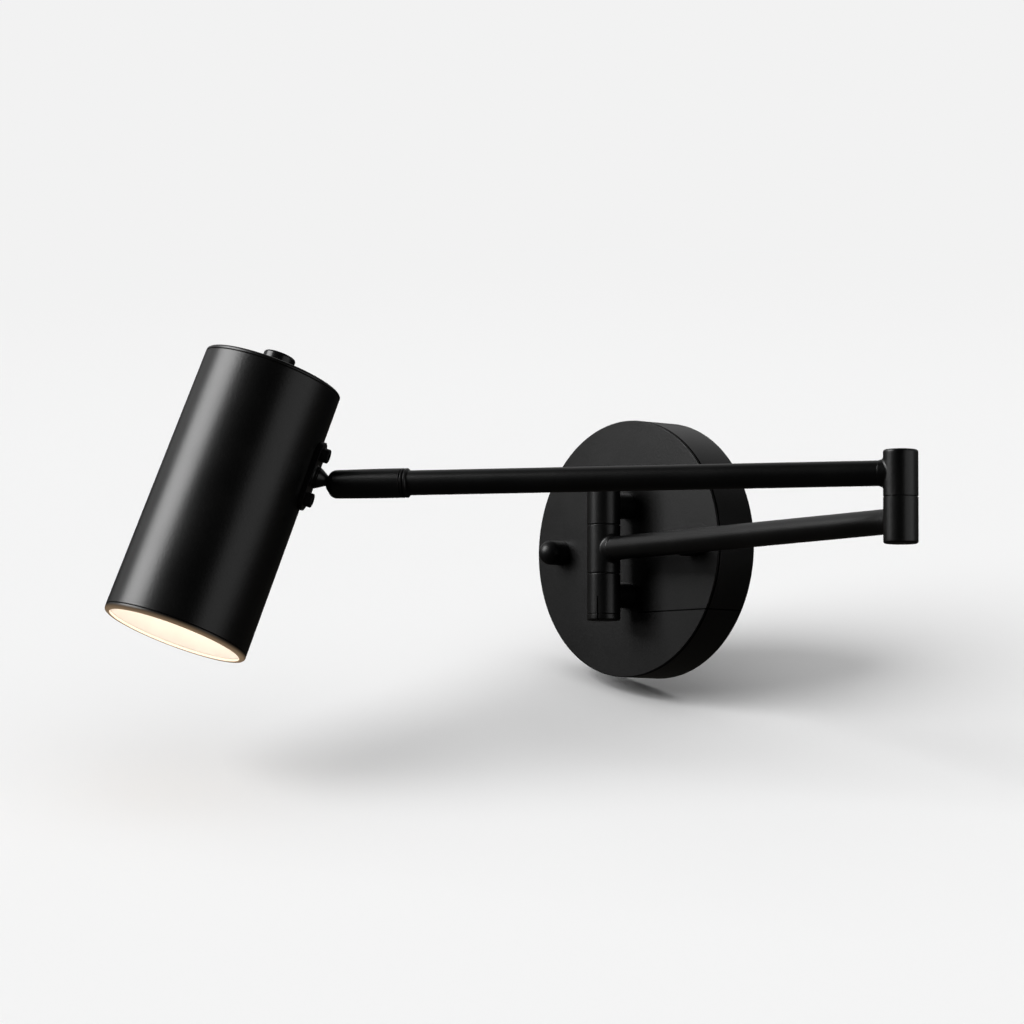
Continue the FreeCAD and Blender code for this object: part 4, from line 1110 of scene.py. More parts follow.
# ---------------------------------------------------------------- castings
@dataclass(frozen=True)
class Casting:
    """Upright cylinder with a round arm out of its side along X, blended by a fillet."""

    radius: float
    height: float
    arm_radius: float
    arm_end: float
    blend: float
    edge: float
    foot_edge: float
    socket_radius: float
    socket_depth: float
    top_well: float = 0.0
    well_radius: float = 5.5
    lip: float = 0.35
    lip_start: float = 0.1
    front: float = 82.0
    blend_steps: int = 6

    def seam(self, angle: float) -> tuple[Vector, Vector, Vector]:
        """Rolling fillet at one angle about the arm.

        Args:
            angle: angle about the arm's axis, in radians.

        Returns:
            The fillet's centre, where it leaves the arm, and where it meets the cylinder.
        """
        reach = self.arm_radius + self.blend
        y, z = reach * math.cos(angle), reach * math.sin(angle)
        x = math.sqrt((self.radius + self.blend) ** 2 - y * y)
        on_arm = Vector((x, self.arm_radius * math.cos(angle), self.arm_radius * math.sin(angle)))
        share = self.radius / (self.radius + self.blend)
        return Vector((x, y, z)), on_arm, Vector((x * share, y * share, z))

    def bearing(self, angle: float) -> float:
        """Bearing of the fillet's foot on the unrolled cylinder, in radians."""
        _, _, foot = self.seam(angle)
        return math.atan2(foot.z, self.radius * math.atan2(foot.y, foot.x))

    def solve(self, wanted: float) -> float:
        """Angle about the arm whose fillet foot lies on a bearing.

        Args:
            wanted: the bearing.

        Returns:
            The angle.
        """
        angle = wanted
        for _ in range(SOLVE_STEPS):
            error = wanted - self.bearing(angle)
            angle += math.atan2(math.sin(error), math.cos(error))
        return angle

    def on_wall(self, across: float, height: float) -> Vector:
        """Point of the cylinder."""
        return polar(self.radius, across / self.radius, height)

    def end_outline(self, side: float, well: float) -> list[tuple[float, float, float]]:
        """Outline over one end of the cylinder, from below its rounded edge to the axis.

        Args:
            side: 1 for the top and -1 for the bottom.
            well: depth of the round well in it.

        Returns:
            Radius, height and edge mark of each ring.
        """
        half = self.height / 2.0
        fillet = self.edge if side > 0 else self.foot_edge
        corners = [Corner(self.radius, 0.0), Corner(self.radius, half, fillet)]
        if well > 0.0:
            corners += [Corner(self.well_radius, half, 0.15), Corner(self.well_radius, half - well, 0.1)]
            corners.append(Corner(0.0, half - well))
        else:
            corners.append(Corner(0.0, half))
        drawn = rounded(corners, False)[1:]
        return [(radius, side * height, mark) for radius, height, mark in drawn]

    def shape(self, columns: int = 26, rows: int = 14, back: int = 44) -> Shape:
        """The casting.

        Args:
            columns: spans across the arm's side.
            rows: spans up it.
            back: spans round the rest of the cylinder.

        Returns:
            The closed shape, arm along X.
        """
        made = Shape()
        top, bottom = self.height / 2.0 - self.edge, self.foot_edge - self.height / 2.0
        reach = math.radians(self.front) * self.radius
        round_about = math.tau * self.radius
        levels = [bottom + (top - bottom) * row / rows for row in range(rows + 1)]
        spread = [-reach + 2.0 * reach * column / columns for column in range(columns + 1)]
        rear = [reach + (round_about - 2.0 * reach) * step / back for step in range(1, back)]
        low = made.ring([self.on_wall(u, bottom) for u in spread])
        high = made.ring([self.on_wall(u, top) for u in spread])
        sides = {}
        for name, u, column in (("left", -reach, 0), ("right", reach, -1)):
            between = made.ring([self.on_wall(u, level) for level in levels[1:-1]])
            sides[name] = [low[column], *between, high[column]]
        walls = [made.ring([self.on_wall(u, level) for level in levels]) for u in rear]
        for first, second in zip([sides["right"], *walls], [*walls, sides["left"]]):
            made.bridge(first, second, wrap=False)
        for side, rim, row in ((1.0, high, -1), (-1.0, low, 0)):
            self.close_end(made, side, [*rim, *(wall[row] for wall in walls)], spread, rear)
        border = [*sides["right"], *high[-2::-1], *sides["left"][-2::-1], *low[1:-1]]
        places = [(reach, level) for level in levels]
        places += [(u, top) for u in spread[-2::-1]]
        places += [(-reach, level) for level in levels[-2::-1]]
        places += [(u, bottom) for u in spread[1:-1]]
        self.grow_arm(made, border, places)
        return made

    def close_end(
        self, made: Shape, side: float, rim: list[bmesh.types.BMVert], spread: list[float], rear: list[float],
    ) -> None:
        """Round over one end and close it.

        Args:
            made: the shape.
            side: 1 for the top and -1 for the bottom.
            rim: the ring that it starts from.
            spread: places across the arm's side.
            rear: places round the rest.
        """
        ring = rim
        angles = [place / self.radius for place in (*spread, *rear)]
        for radius, height, mark in self.end_outline(side, self.top_well if side > 0 else 0.0)[1:]:
            around = angles if radius > ON_AXIS else [0.0]
            ring = made.extend(ring, [polar(radius, angle, height) for angle in around], mark)

    def grow_arm(self, made: Shape, border: list[bmesh.types.BMVert], places: list[tuple[float, float]]) -> None:
        """Lead the wall through the fillet into the arm and close its end.

        Args:
            made: the shape.
            border: the ring that the arm's side ends at.
            places: where that ring is on the unrolled cylinder.
        """
        angles = [self.solve(math.atan2(height, across)) for across, height in places]
        ring = border
        for share in (0.75, 0.5, 0.25, 0.0):
            points = []
            for angle, (across, height) in zip(angles, places):
                foot = self.seam(angle)[2]
                start = Vector((self.radius * math.atan2(foot.y, foot.x), foot.z))
                here = start.lerp(Vector((across, height)), share)
                points.append(self.on_wall(here.x, here.y))
            ring = made.extend(ring, points)
        for step in range(1, self.blend_steps + 1):
            points = []
            for angle in angles:
                centre, on_arm, on_body = self.seam(angle)
                toward = (on_body - centre).normalized().slerp((on_arm - centre).normalized(), step / self.blend_steps)
                points.append(centre + toward * self.blend)
            ring = made.extend(ring, points)
        bore, lip, floor = self.socket_radius, self.arm_radius - self.lip, self.arm_end - self.socket_depth
        for radius, x, mark in (
            (self.arm_radius, self.arm_end - self.lip, 0.3),
            (self.arm_radius - self.lip_start, self.arm_end - self.lip_start, 1.0),
            (lip, self.arm_end, 0.3), (bore, self.arm_end, 0.0), (bore, floor, 0.0),
        ):
            points = [Vector((x, radius * math.cos(angle), radius * math.sin(angle))) for angle in angles]
            ring = made.extend(ring, points, mark)
        made.extend(ring, [Vector((floor, 0.0, 0.0))])


def solid_of(radius: float, bottom: float, top: float, edge: float = 0.15) -> list[Corner]:
    """Outline of a plain turned disc or rod."""
    return [Corner(0.0, bottom), Corner(radius, bottom, edge), Corner(radius, top, edge), Corner(0.0, top)]


def ring_of(bore: float, outer: float, bottom: float, top: float, edge: float = 0.1) -> list[Corner]:
    """Outline of a plain ring, to be closed.

    Args:
        bore: inner radius.
        outer: outer radius.
        bottom: its lower end.
        top: its upper end.
        edge: fillet on its rims.

    Returns:
        The corners.
    """
    return [
        Corner(bore, bottom, edge), Corner(outer, bottom, edge), Corner(outer, top, edge), Corner(bore, top, edge),
    ]


def washer_of(radius: float, bottom: float, thickness: float) -> Shape:
    """Friction washer inside a barrel of a given radius."""
    outline = ring_of(LAY.washer_bore, radius - LAY.washer_inset, bottom, bottom + thickness, 0.05)
    return Shape().turn(outline, True, 72)


# ---------------------------------------------------------------- wall plate
@dataclass
class WallPlate:
    """Round drum on the wall with its two domed nuts."""

    grid: FastenerGrid
    radius: float = 65.0
    wall: float = 1.5
    chamfer: float = 0.35
    gap_behind: float = 0.55
    gap_in_plate: float = 0.5
    gap_depth: float = 1.0
    stud_spacing: float = 96.0
    nut_radius: float = 6.25
    nut_length: float = 13.5
    boss_radius: float = 3.2
    boss_overlap: float = 0.2
    # painted shade: the parting line across the face and rim is a painted dark hairline
    scribe: Scribe = Scribe(place=-32.6, start=8.0)

    def build(self) -> bpy.types.Object:
        """Rim, front plate and nuts.

        Returns:
            The rim.
        """
        coat = PowderCoat("powder_coat_on_wall_plate", scribe=self.scribe)
        front, back, neck = LAY.face, LAY.plate_back, self.radius - self.gap_depth
        rim = Shape().turn([
            Corner(self.radius - self.wall, 0.0, 0.3),
            Corner(self.radius, 0.0, 0.35),
            Corner(self.radius, back - self.gap_behind, 0.15),
            Corner(neck, back - self.gap_behind),
            Corner(neck, back),
            Corner(self.radius - self.wall, back),
        ], closed=True, segments=256)
        drum = dress(rim, LAY.wall(), Wear("canopy_rim", Body.WALL, Slot.COAT, coat))

        plate = Shape().turn([
            Corner(0.0, back),
            Corner(neck, back),
            Corner(neck, back + self.gap_in_plate),
            Corner(self.radius, back + self.gap_in_plate, 0.1),
            Corner(self.radius, front - self.chamfer, 0.12),
            Corner(self.radius - self.chamfer, front, 0.14),
            Corner(0.0, front),
        ], segments=256)
        side = LAY.driver_screws_apart / 2.0
        for x, y in ((side, LAY.driver_level), (-side, LAY.driver_level), (0.0, LAY.terminal_level)):
            low, high = back - LAY.boss_height, back + self.boss_overlap
            boss = Shape().turn(solid_of(self.boss_radius, low, high), segments=40)
            plate.add(boss, shifted(x, y))
        dress(plate, LAY.wall(), Wear("canopy_plate", Body.WALL, Slot.COAT, coat))

        dome = [
            Corner(0.0, 0.0),
            Corner(self.nut_radius, 0.0, 0.35),
            *arc((0.0, self.nut_length - self.nut_radius), self.nut_radius, 0.0, 90.0, 18),
        ]
        nut = Shape().turn(dome, segments=72)
        wear = Wear("cap_nuts", Body.WALL, Slot.NUT, NUT_GLOSS)
        self.grid.repeat(nut, LAY.wall() @ shifted(z=front), wear, 2, self.stud_spacing)
        return drum


@dataclass
class BackOfPlate:
    """What shows from behind, inside the drum."""

    grid: FastenerGrid
    screw_radius: float = 1.5
    screw_length: float = 10.25
    head_radius: float = 2.8
    head_height: float = 2.0
    tab_drop: float = 4.0
    pole_radius: float = 1.6
    pole_length: float = 4.0
    pole_pitch: float = 10.0
    row_pitch: float = 8.0
    terminal_height: float = 12.0

    def build(self) -> None:
        """Small fasteners and moulded parts."""
        boss_face = LAY.plate_back - LAY.boss_height
        screw = Shape().turn([
            Corner(0.0, 0.0), Corner(self.head_radius, 0.0, 0.9), Corner(self.head_radius, self.head_height, 0.1),
            Corner(self.screw_radius, self.head_height), Corner(self.screw_radius, self.screw_length, 0.2),
            Corner(0.0, self.screw_length),
        ], segments=40)
        wear = Wear("driver_screws", Body.WALL, Slot.ZINC, ZINC)
        place = LAY.wall() @ shifted(0.0, LAY.driver_level, boss_face - self.tab_drop)
        self.grid.repeat(screw, place, wear, 2, LAY.driver_screws_apart)
        pole = Shape().turn(solid_of(self.pole_radius, 0.0, self.pole_length, 0.3), segments=32)
        wear = Wear("terminal_screws", Body.WALL, Slot.BRASS, BRASS)
        place = LAY.wall() @ shifted(0.0, LAY.terminal_level, boss_face - self.terminal_height)
        self.grid.repeat(pole, place, wear, 3, self.pole_pitch, 2, self.row_pitch)
        dress_nodes({
            "wall_strap": ZINC, "strap_studs": ZINC, "earth_screw": BRASS, "led_driver": DRIVER_SHELL,
            "terminal_block": TERMINAL_SHELL, "terminal_block_screw": ZINC, "post_nipples": BRASS,
            "post_washers": ZINC, "post_nuts": ZINC,
        })


# ---------------------------------------------------------------- wall pivot
@dataclass
class WallPivot:
    """Barrel at the wall: two fixed castings on posts, their end caps, washers and pin."""

    fixed_height: float = 20.2
    gap: float = 0.4
    cap_height: float = 3.2
    post_radius: float = 6.5
    cap_edge: float = 0.9
    seam: float = 0.3
    # painted shade: a dark upright hairline painted down the lower barrel and its caps
    painted_hairline: Scribe = Scribe(place=3.4, start=25.0, upright=True, front=41.75)

    def fixed_level(self) -> float:
        """Height of a fixed casting's middle above the pivot's."""
        return LAY.root_height / 2.0 + self.gap + self.fixed_height / 2.0

    def build(self) -> None:
        """Castings, caps and washers."""
        casting = Casting(
            LAY.barrel_radius, self.fixed_height, self.post_radius, LAY.pivot_offset,
            blend=0.9, edge=0.3, foot_edge=0.3, socket_radius=5.0, socket_depth=6.0,
        )
        painted_hairline_coat = replace(FINE_COAT, name="powder_coat_on_lower_barrel", scribe=self.painted_hairline)
        for name, side, finish in (
            ("upper_pivot_bracket", 1.0, FINE_COAT), ("lower_pivot_bracket", -1.0, painted_hairline_coat),
        ):
            place = LAY.pivot() @ shifted(z=side * self.fixed_level()) @ turned("Z", 90.0)
            dress(casting.shape(), place, Wear(name, Body.WALL, Slot.COAT, finish))

        caps, washers = Shape(), Shape()
        end = LAY.root_height / 2.0 + self.gap + self.fixed_height
        for flip in (Matrix(), turned("X", 180.0)):
            cap = Shape().turn([
                Corner(0.0, end - LAY.plug_height), Corner(LAY.plug_radius, end - LAY.plug_height, 0.1),
                Corner(LAY.plug_radius, end), Corner(LAY.barrel_radius - self.seam, end, 0.06),
                Corner(LAY.barrel_radius, end + self.seam, 0.1),
                Corner(LAY.barrel_radius, end + self.cap_height, self.cap_edge), Corner(0.0, end + self.cap_height),
            ], segments=96)
            caps.add(cap, flip)
            washers.add(washer_of(LAY.barrel_radius, LAY.root_height / 2.0, self.gap), flip)
        for shape, name, slot, finish in (
            (caps, "barrel_caps", Slot.COAT, painted_hairline_coat), (washers, "barrel_washers", Slot.WASHER, WASHER_NYLON),
        ):
            dress(shape, LAY.pivot(), Wear(name, Body.WALL, slot, finish))
        dress_nodes({"wall_pivot": ZINC, "wall_pivot_nuts": BRASS})


# ---------------------------------------------------------------- arms
@dataclass
class Arms:
    """Both arm links with the elbow between them."""

    tube_radius: float = 6.0
    collar_radius: float = 6.25
    collar_length: float = 2.0
    elbow_radius: float = 8.25
    elbow_height: float = 21.8
    washer_gap: float = 0.4
    root_edges: tuple[float, float] = (0.3, 0.3)
    elbow_edges: tuple[float, float] = (1.2, 0.12)
    lower_well: float = 3.6
    upper_well: float = 4.3
    socket: float = 6.2
    wall: float = 1.0

    def knuckle(
        self, name: str, body: Body, radius: float, height: float, place: Matrix, well: float,
        edges: tuple[float, float],
    ) -> None:
        """One cast knuckle with its collar.

        Args:
            name: the node that it stands for.
            body: the body that it rides on.
            radius: the knuckle's radius.
            height: its height.
            place: where it goes.
            well: depth of the well in its top.
            edges: fillets on its top and on its foot.
        """
        casting = Casting(
            radius, height, self.collar_radius, radius + self.collar_length, blend=1.7, edge=edges[0],
            foot_edge=edges[1], socket_radius=self.tube_radius + 0.02, socket_depth=2.0, top_well=well,
        )
        dress(casting.shape(), place, Wear(name, body, Slot.COAT, FINE_COAT))

    def tube(self, name: str, body: Body, start: float, end: float, place: Matrix) -> None:
        """One straight arm tube."""
        shape = Shape().turn(ring_of(self.tube_radius - self.wall, self.tube_radius, start, end, 0.2), True, 96)
        dress(shape, place @ ALONG_X, Wear(name, body, Slot.COAT, COAT))

    def build(self) -> None:
        """Knuckles, tubes, plugs and washer."""
        lower, upper = LAY.lower(), LAY.upper()
        self.knuckle("root_knuckle", Body.LOWER_ARM, LAY.barrel_radius, LAY.root_height, lower, 0.0, self.root_edges)
        self.tube("lower_arm_tube", Body.LOWER_ARM, self.socket, LAY.lower_arm_length - self.socket, lower)
        for name, body, place, well in (
            ("elbow_lower_knuckle", Body.LOWER_ARM, LAY.elbow() @ turned("Y", 180.0), self.lower_well),
            ("elbow_upper_knuckle", Body.UPPER_ARM, upper, self.upper_well),
        ):
            self.knuckle(name, body, self.elbow_radius, self.elbow_height, place, well, self.elbow_edges)
        self.tube("upper_arm_tube", Body.UPPER_ARM, self.socket, LAY.ball_distance - LAY.tube_stop, upper)
        half = self.elbow_height / 2.0
        for name, body, place in (
            ("elbow_bottom_cap", Body.LOWER_ARM, LAY.elbow() @ turned("X", 180.0)),
            ("elbow_top_cap", Body.UPPER_ARM, upper),
        ):
            plug = Shape().turn(solid_of(LAY.plug_radius, half - LAY.plug_height, half, 0.2), segments=72)
            dress(plug, place, Wear(name, body, Slot.COAT, FINE_COAT))
        washer = washer_of(self.elbow_radius, half, self.washer_gap)
        dress(washer, LAY.elbow(), Wear("elbow_washer", Body.LOWER_ARM, Slot.WASHER, WASHER_NYLON))
        dress_nodes({"elbow_pivot": ZINC, "elbow_nut": BRASS, "lower_arm_lead": JACKET, "upper_arm_lead": JACKET})


# ---------------------------------------------------------------- ball joint
@dataclass
class BallJoint:
    """Bullet-shaped sleeve with its ring, the cup and spring in it, and the ball with its stud."""

    coil: CoilTree
    sleeve_radius: float = 7.1
    nose_base: float = 6.85
    nose_radius: float = 4.0
    mouth_radius: float = 5.0
    sleeve_length: float = 36.0
    straight: float = 12.0
    ball_radius: float = 5.6
    ball_start: float = -84.0
    cavity_radius: float = 5.65
    neck_radius: float = 2.5
    neck_end: float = 5.2
    cone_radius: float = 4.9
    stud_face: float = 9.8
    stud_tail: float = 18.0
    stud_radius: float = 3.0
    ring_length: float = 3.4
    groove: float = 0.75
    coil_radius: float = 5.15
    coil_rise: float = 4.9
    coil_turns: float = 3.0
    coil_wire: float = 0.45
    coil_foot: float = -14.45

    def build(self) -> None:
        """Sleeve, ring, stud, spring and cup."""
        ball = LAY.ball() @ ALONG_X
        inner = self.nose_base - self.nose_radius
        tip = math.sqrt(self.nose_radius ** 2 - (self.mouth_radius - inner) ** 2)
        back = self.sleeve_length - tip
        end_angle = math.degrees(math.atan2(tip, self.mouth_radius - inner))
        mouth_plane = math.sqrt(self.cavity_radius ** 2 - self.mouth_radius ** 2)
        start_angle = math.degrees(math.atan2(mouth_plane, self.mouth_radius))
        sleeve = Shape().turn([
            Corner(LAY.sleeve_bore, -back), Corner(self.sleeve_radius, -back, 0.3),
            Corner(self.sleeve_radius, -back + self.straight),
            *arc((inner, 0.0), self.nose_radius, 0.0, end_angle, 14),
            *arc((0.0, 0.0), self.cavity_radius, start_angle, 0.0, 8),
            Corner(self.cavity_radius, -LAY.tube_stop), Corner(LAY.sleeve_bore, -LAY.tube_stop),
        ], closed=True, segments=96)
        dress(sleeve, ball, Wear("joint_sleeve", Body.UPPER_ARM, Slot.COAT, COAT))

        low, outer, neck = -(back + self.ring_length), self.sleeve_radius, self.sleeve_radius - self.groove
        half, end = low + self.ring_length / 2.0, low + self.ring_length
        outline = [Corner(LAY.sleeve_bore, low)]
        for foot, crest, stop in ((low, low + 0.5, half), (half + 0.25, half + 0.5, end)):
            outline += [
                Corner(neck, foot, 0.05), Corner(outer, crest, 0.15), Corner(outer, stop - 0.35, 0.15),
                Corner(neck, stop - 0.1, 0.05),
            ]
        collar = Shape().turn([*outline, Corner(neck, end), Corner(LAY.sleeve_bore, end)], closed=True, segments=96)
        dress(collar, ball, Wear("sleeve_ring", Body.UPPER_ARM, Slot.COAT, FINE_COAT))

        neck = math.degrees(math.acos(self.neck_radius / self.ball_radius))
        stud = Shape().turn([
            Corner(0.0, -self.ball_radius),
            *arc((0.0, 0.0), self.ball_radius, self.ball_start, neck, 26),
            Corner(self.neck_radius, self.neck_end, 0.6),
            Corner(self.cone_radius, self.stud_face - 0.6, 0.25),
            Corner(self.cone_radius, self.stud_face, 0.12),
            Corner(self.stud_radius, self.stud_face), Corner(self.stud_radius, self.stud_tail, 0.2),
            Corner(0.0, self.stud_tail),
        ], segments=72)
        dress(stud, LAY.head() @ ALONG_X, Wear("ball_stud", Body.STUD, Slot.COAT, FINE_COAT))

        wear = Wear("seat_spring", Body.UPPER_ARM, Slot.SPRING, WIRE_STEEL)
        place = LAY.ball() @ shifted(self.coil_foot) @ ALONG_X
        self.coil.wind(self.coil_radius, self.coil_rise, self.coil_turns, self.coil_wire, place, wear)
        dress_nodes({"ball_seat": CUP_NYLON, "stud_nut": ZINC})


# ---------------------------------------------------------------- head
@dataclass
class Bracket:
    """Round-ended plate on the head's side, with its boss and two socket screws."""

    grid: FastenerGrid
    length: float = 35.0
    width: float = 14.0
    thickness: float = 2.0
    edge: float = 0.45
    foot: float = 0.12
    inner: float = 3.0
    boss_radius: float = 5.3
    boss_base: float = 6.3
    boss_height: float = 1.8
    screw_spacing: float = 23.0
    head_radius: float = 3.5
    head_height: float = 3.2
    key_flats: float = 3.0
    key_depth: float = 1.4
    shank_radius: float = 1.75
    shank_length: float = 4.4
    chamfer: float = 0.5
    around: int = 96

    def outline(self, inset: float, level: Callable[[float], float]) -> list[Vector]:
        """Round-ended ring of points.

        Args:
            inset: how far inside the plate's edge it is.
            level: height of a point from its place across the plate.

        Returns:
            The points.
        """
        radius = self.width / 2.0 - inset
        straight = (self.length - self.width) / 2.0
        points = []
        for step in range(self.around):
            angle = math.tau * (step + 0.5) / self.around
            x = math.copysign(straight, math.cos(angle)) + radius * math.cos(angle)
            y = radius * math.sin(angle)
            points.append(Vector((x, y, level(y))))
        return points

    def saddle(self, y: float) -> float:
        """Height of the plate's back, which follows the head's round side."""
        return math.sqrt(LAY.head_top_radius ** 2 - y * y) - LAY.head_top_radius

    def screw(self) -> Shape:
        """Cylinder-headed screw with a hexagon socket.

        Returns:
            The screw, seated at Z 0.
        """
        count, chamfer, tail, shank = 48, self.chamfer, -self.shank_length, self.shank_radius

        def circle(radius: float, height: float) -> list[Vector]:
            """Ring of points."""
            return [polar(radius, math.tau * n / count, height) for n in range(count)]

        def hexagon(height: float, inset: float = 0.0) -> list[Vector]:
            """Hexagonal ring of points.

            Args:
                height: Z of the ring.
                inset: how much smaller than the socket it is.

            Returns:
                The ring's points.
            """
            points = []
            for n in range(count):
                angle = math.tau * n / count
                side = (angle + math.pi / 6.0) % (math.pi / 3.0) - math.pi / 6.0
                reach = (self.key_flats / 2.0 - inset) / math.cos(side)
                points.append(polar(reach, angle, height))
            return points

        top, radius = self.head_height, self.head_radius
        floor = top - self.key_depth
        return Shape().loft([
            ([Vector((0.0, 0.0, tail))], 0.0), (circle(shank, tail), 0.0), (circle(shank, 0.0), 0.0),
            (circle(radius - 0.15, 0.0), 0.3), (circle(radius, 0.15), 0.6), (circle(radius, top - chamfer), 0.6),
            (circle(radius - chamfer * 0.3, top - chamfer * 0.3), 1.0), (circle(radius - chamfer, top), 0.6),
            (circle(self.key_flats * 0.72, top), 0.2), (hexagon(top, -0.1), 1.0), (hexagon(top - 0.12), 1.0),
            (hexagon(floor), 0.0), ([Vector((0.0, 0.0, floor - 0.4))], 0.0),
        ])

    def build(self) -> None:
        """Plate, boss and screws."""
        thick, edge = self.thickness, self.edge
        place = LAY.head() @ shifted(LAY.bracket_reach) @ turned("Y", -90.0)
        plate = Shape().loft([
            ([Vector((0.0, 0.0, 0.0))], 0.0),
            (self.outline(self.inner, self.saddle), 0.0),
            (self.outline(self.foot, self.saddle), 0.3),
            (self.outline(0.0, lambda y: self.saddle(y) + self.foot), 0.6),
            (self.outline(0.0, lambda y: thick - edge), 0.7),
            (self.outline(edge * 0.3, lambda y: thick - edge * 0.3), 1.0),
            (self.outline(edge, lambda y: thick), 0.7),
            (self.outline(self.inner, lambda y: thick), 0.0),
            ([Vector((0.0, 0.0, thick))], 0.0),
        ])
        step = self.boss_base - self.boss_radius
        boss = Shape().turn([
            Corner(0.0, 0.5), Corner(self.boss_base, 0.5), Corner(self.boss_base, thick),
            *[Corner(self.boss_base - step * math.sin(a), thick + step * (1.0 - math.cos(a)))
              for a in (0.4, 0.8, 1.2, math.pi / 2.0)],
            Corner(self.boss_radius, thick + self.boss_height, 0.2), Corner(0.0, thick + self.boss_height),
        ], segments=72)
        plate.add(boss)
        dress(plate, place, Wear("bracket_plate", Body.HEAD, Slot.COAT, FINE_COAT))
        wear = Wear("bracket_screws", Body.HEAD, Slot.SCREW, BLACK_SCREW)
        self.grid.repeat(self.screw(), place @ shifted(z=thick), wear, 2, self.screw_spacing)
        dress_nodes({"bracket_nuts": ZINC})


@dataclass
class SpotHead:
    """Tapered shell with its lid and the ring round its mouth."""

    wall: float = 1.4
    seam: float = 0.3
    spigot: float = 5.0
    spigot_wall: float = 0.8
    lid_play: float = 0.05
    bezel_play: float = 0.1065
    lid_edge: float = 1.25
    bezel_edge: float = 1.65
    mouth_radius: float = 33.0
    segments: int = 256

    def build(self) -> None:
        """Shell, lid and bezel."""
        low, high, length = LAY.head_bottom_radius, LAY.head_top_radius, LAY.head_length
        mouth = LAY.mouth()
        shell = Shape().turn([
            Corner(low - self.wall, 0.0, 0.1), Corner(low - self.seam, 0.0, 0.06), Corner(low, self.seam, 0.12),
            Corner(high, length - self.seam, 0.12), Corner(high - self.seam, length, 0.06),
            Corner(high - self.wall, length, 0.1),
        ], closed=True, segments=self.segments)
        dress(shell, mouth @ shifted(z=LAY.bezel_height), Wear("head_shell", Body.HEAD, Slot.COAT, COAT))

        inside, lid = high - self.wall - self.lid_play, LAY.lid_height
        cap = Shape().turn([
            Corner(LAY.bushing_radius, 0.0), Corner(inside - self.spigot_wall, 0.0, 0.2),
            Corner(inside - self.spigot_wall, -self.spigot, 0.1), Corner(inside, -self.spigot, 0.1),
            Corner(inside, 0.0), Corner(high - self.seam, 0.0, 0.06), Corner(high, self.seam, 0.12),
            Corner(high, lid, self.lid_edge), Corner(LAY.bushing_radius, lid, 0.1),
        ], closed=True, segments=self.segments)
        dress(cap, LAY.lid() @ shifted(z=-lid), Wear("head_lid", Body.HEAD, Slot.COAT, COAT))

        inside, height = low - self.wall - self.bezel_play, LAY.bezel_height
        ring = Shape().turn([
            Corner(self.mouth_radius, 0.0, 0.3), Corner(low, 0.0, self.bezel_edge),
            Corner(low, height - self.seam, 0.12), Corner(low - self.seam, height, 0.06),
            Corner(inside, height), Corner(inside, height + self.spigot, 0.1),
            Corner(inside - self.spigot_wall, height + self.spigot, 0.1),
            Corner(inside - self.spigot_wall, LAY.lip_height), Corner(self.mouth_radius, LAY.lip_height, 0.2),
        ], closed=True, segments=self.segments)
        wear = Wear("head_bezel", Body.HEAD, Slot.COAT, MouthCoat("powder_coat_round_mouth", frame=mouth))
        dress(ring, mouth, wear)


@dataclass
class Optics:
    """White ring behind the lip, lit disc, and what is sealed behind it."""

    ring_depth: float = 10.4
    outer: float = 33.49
    ring_wall: float = 0.6
    taper: float = 0.8
    disc: float = 2.0
    dish: float = 0.12
    shoulder: float = 0.05
    shoulder_width: float = 6.0

    def build(self) -> bpy.types.Object:
        """Ring, disc and the inner nodes' finishes.

        Returns:
            The lit disc.
        """
        mouth = LAY.mouth()
        inner, top = self.outer - self.ring_wall, LAY.lip_height + self.ring_depth
        ring = Shape().turn([
            Corner(inner, LAY.lip_height, 0.15), Corner(self.outer, LAY.lip_height), Corner(self.outer, top),
            Corner(inner - self.taper, top, 0.15),
        ], closed=True, segments=192)
        dress(ring, mouth, Wear("front_ring", Body.HEAD, Slot.WHITE, WHITE_RING))
        glow = LitDisc("lit_disc", axis=mouth)
        disc = Shape().turn([
            Corner(0.0, top - self.dish), Corner(inner - self.shoulder_width, top - self.shoulder),
            Corner(self.outer, top),
            Corner(self.outer, top + self.disc, 0.2), Corner(0.0, top + self.disc),
        ], segments=160)
        lit = dress(disc, mouth, Wear("diffuser", Body.HEAD, Slot.DIFFUSER, glow))
        dress_nodes({
            "reflector": REFLECTOR_METAL, "led_board": BOARD_MASK, "led_screws": ZINC, "heat_sink": SINK_METAL,
            "switch_body": SWITCH_SHELL,
        })
        return lit


@dataclass
class PushSwitch:
    """Domed push button on the lid, with the ring nut that holds its switch."""

    radius: float = 8.0
    top: float = 9.5
    gap: float = 2.7
    edge: float = 1.6
    wall: float = 1.2
    stem: float = 2.0
    stem_foot: float = -3.1
    nut_radius: float = 6.4
    nut_height: float = 2.0

    def build(self) -> None:
        """Button and nut."""
        inner, ceiling = self.radius - self.wall, self.top - 2.0 * self.wall
        button = Shape().turn([
            Corner(0.0, self.stem_foot), Corner(self.stem, self.stem_foot, 0.3), Corner(self.stem, ceiling, 0.3),
            Corner(inner, ceiling, 0.4), Corner(inner, self.gap, 0.15), Corner(self.radius, self.gap, 0.3),
            Corner(self.radius, self.top - 0.35, self.edge), Corner(self.radius * 0.5, self.top - 0.08, 3.0),
            Corner(0.0, self.top),
        ], segments=96)
        dress(button, LAY.lid(), Wear("push_button", Body.BUTTON, Slot.BUTTON, BUTTON_GLOSS))
        nut = Shape().turn(ring_of(LAY.bushing_radius, self.nut_radius, 0.0, self.nut_height, 0.2), True, 72)
        dress(nut, LAY.lid(), Wear("switch_nut", Body.HEAD, Slot.SCREW, BLACK_SCREW))


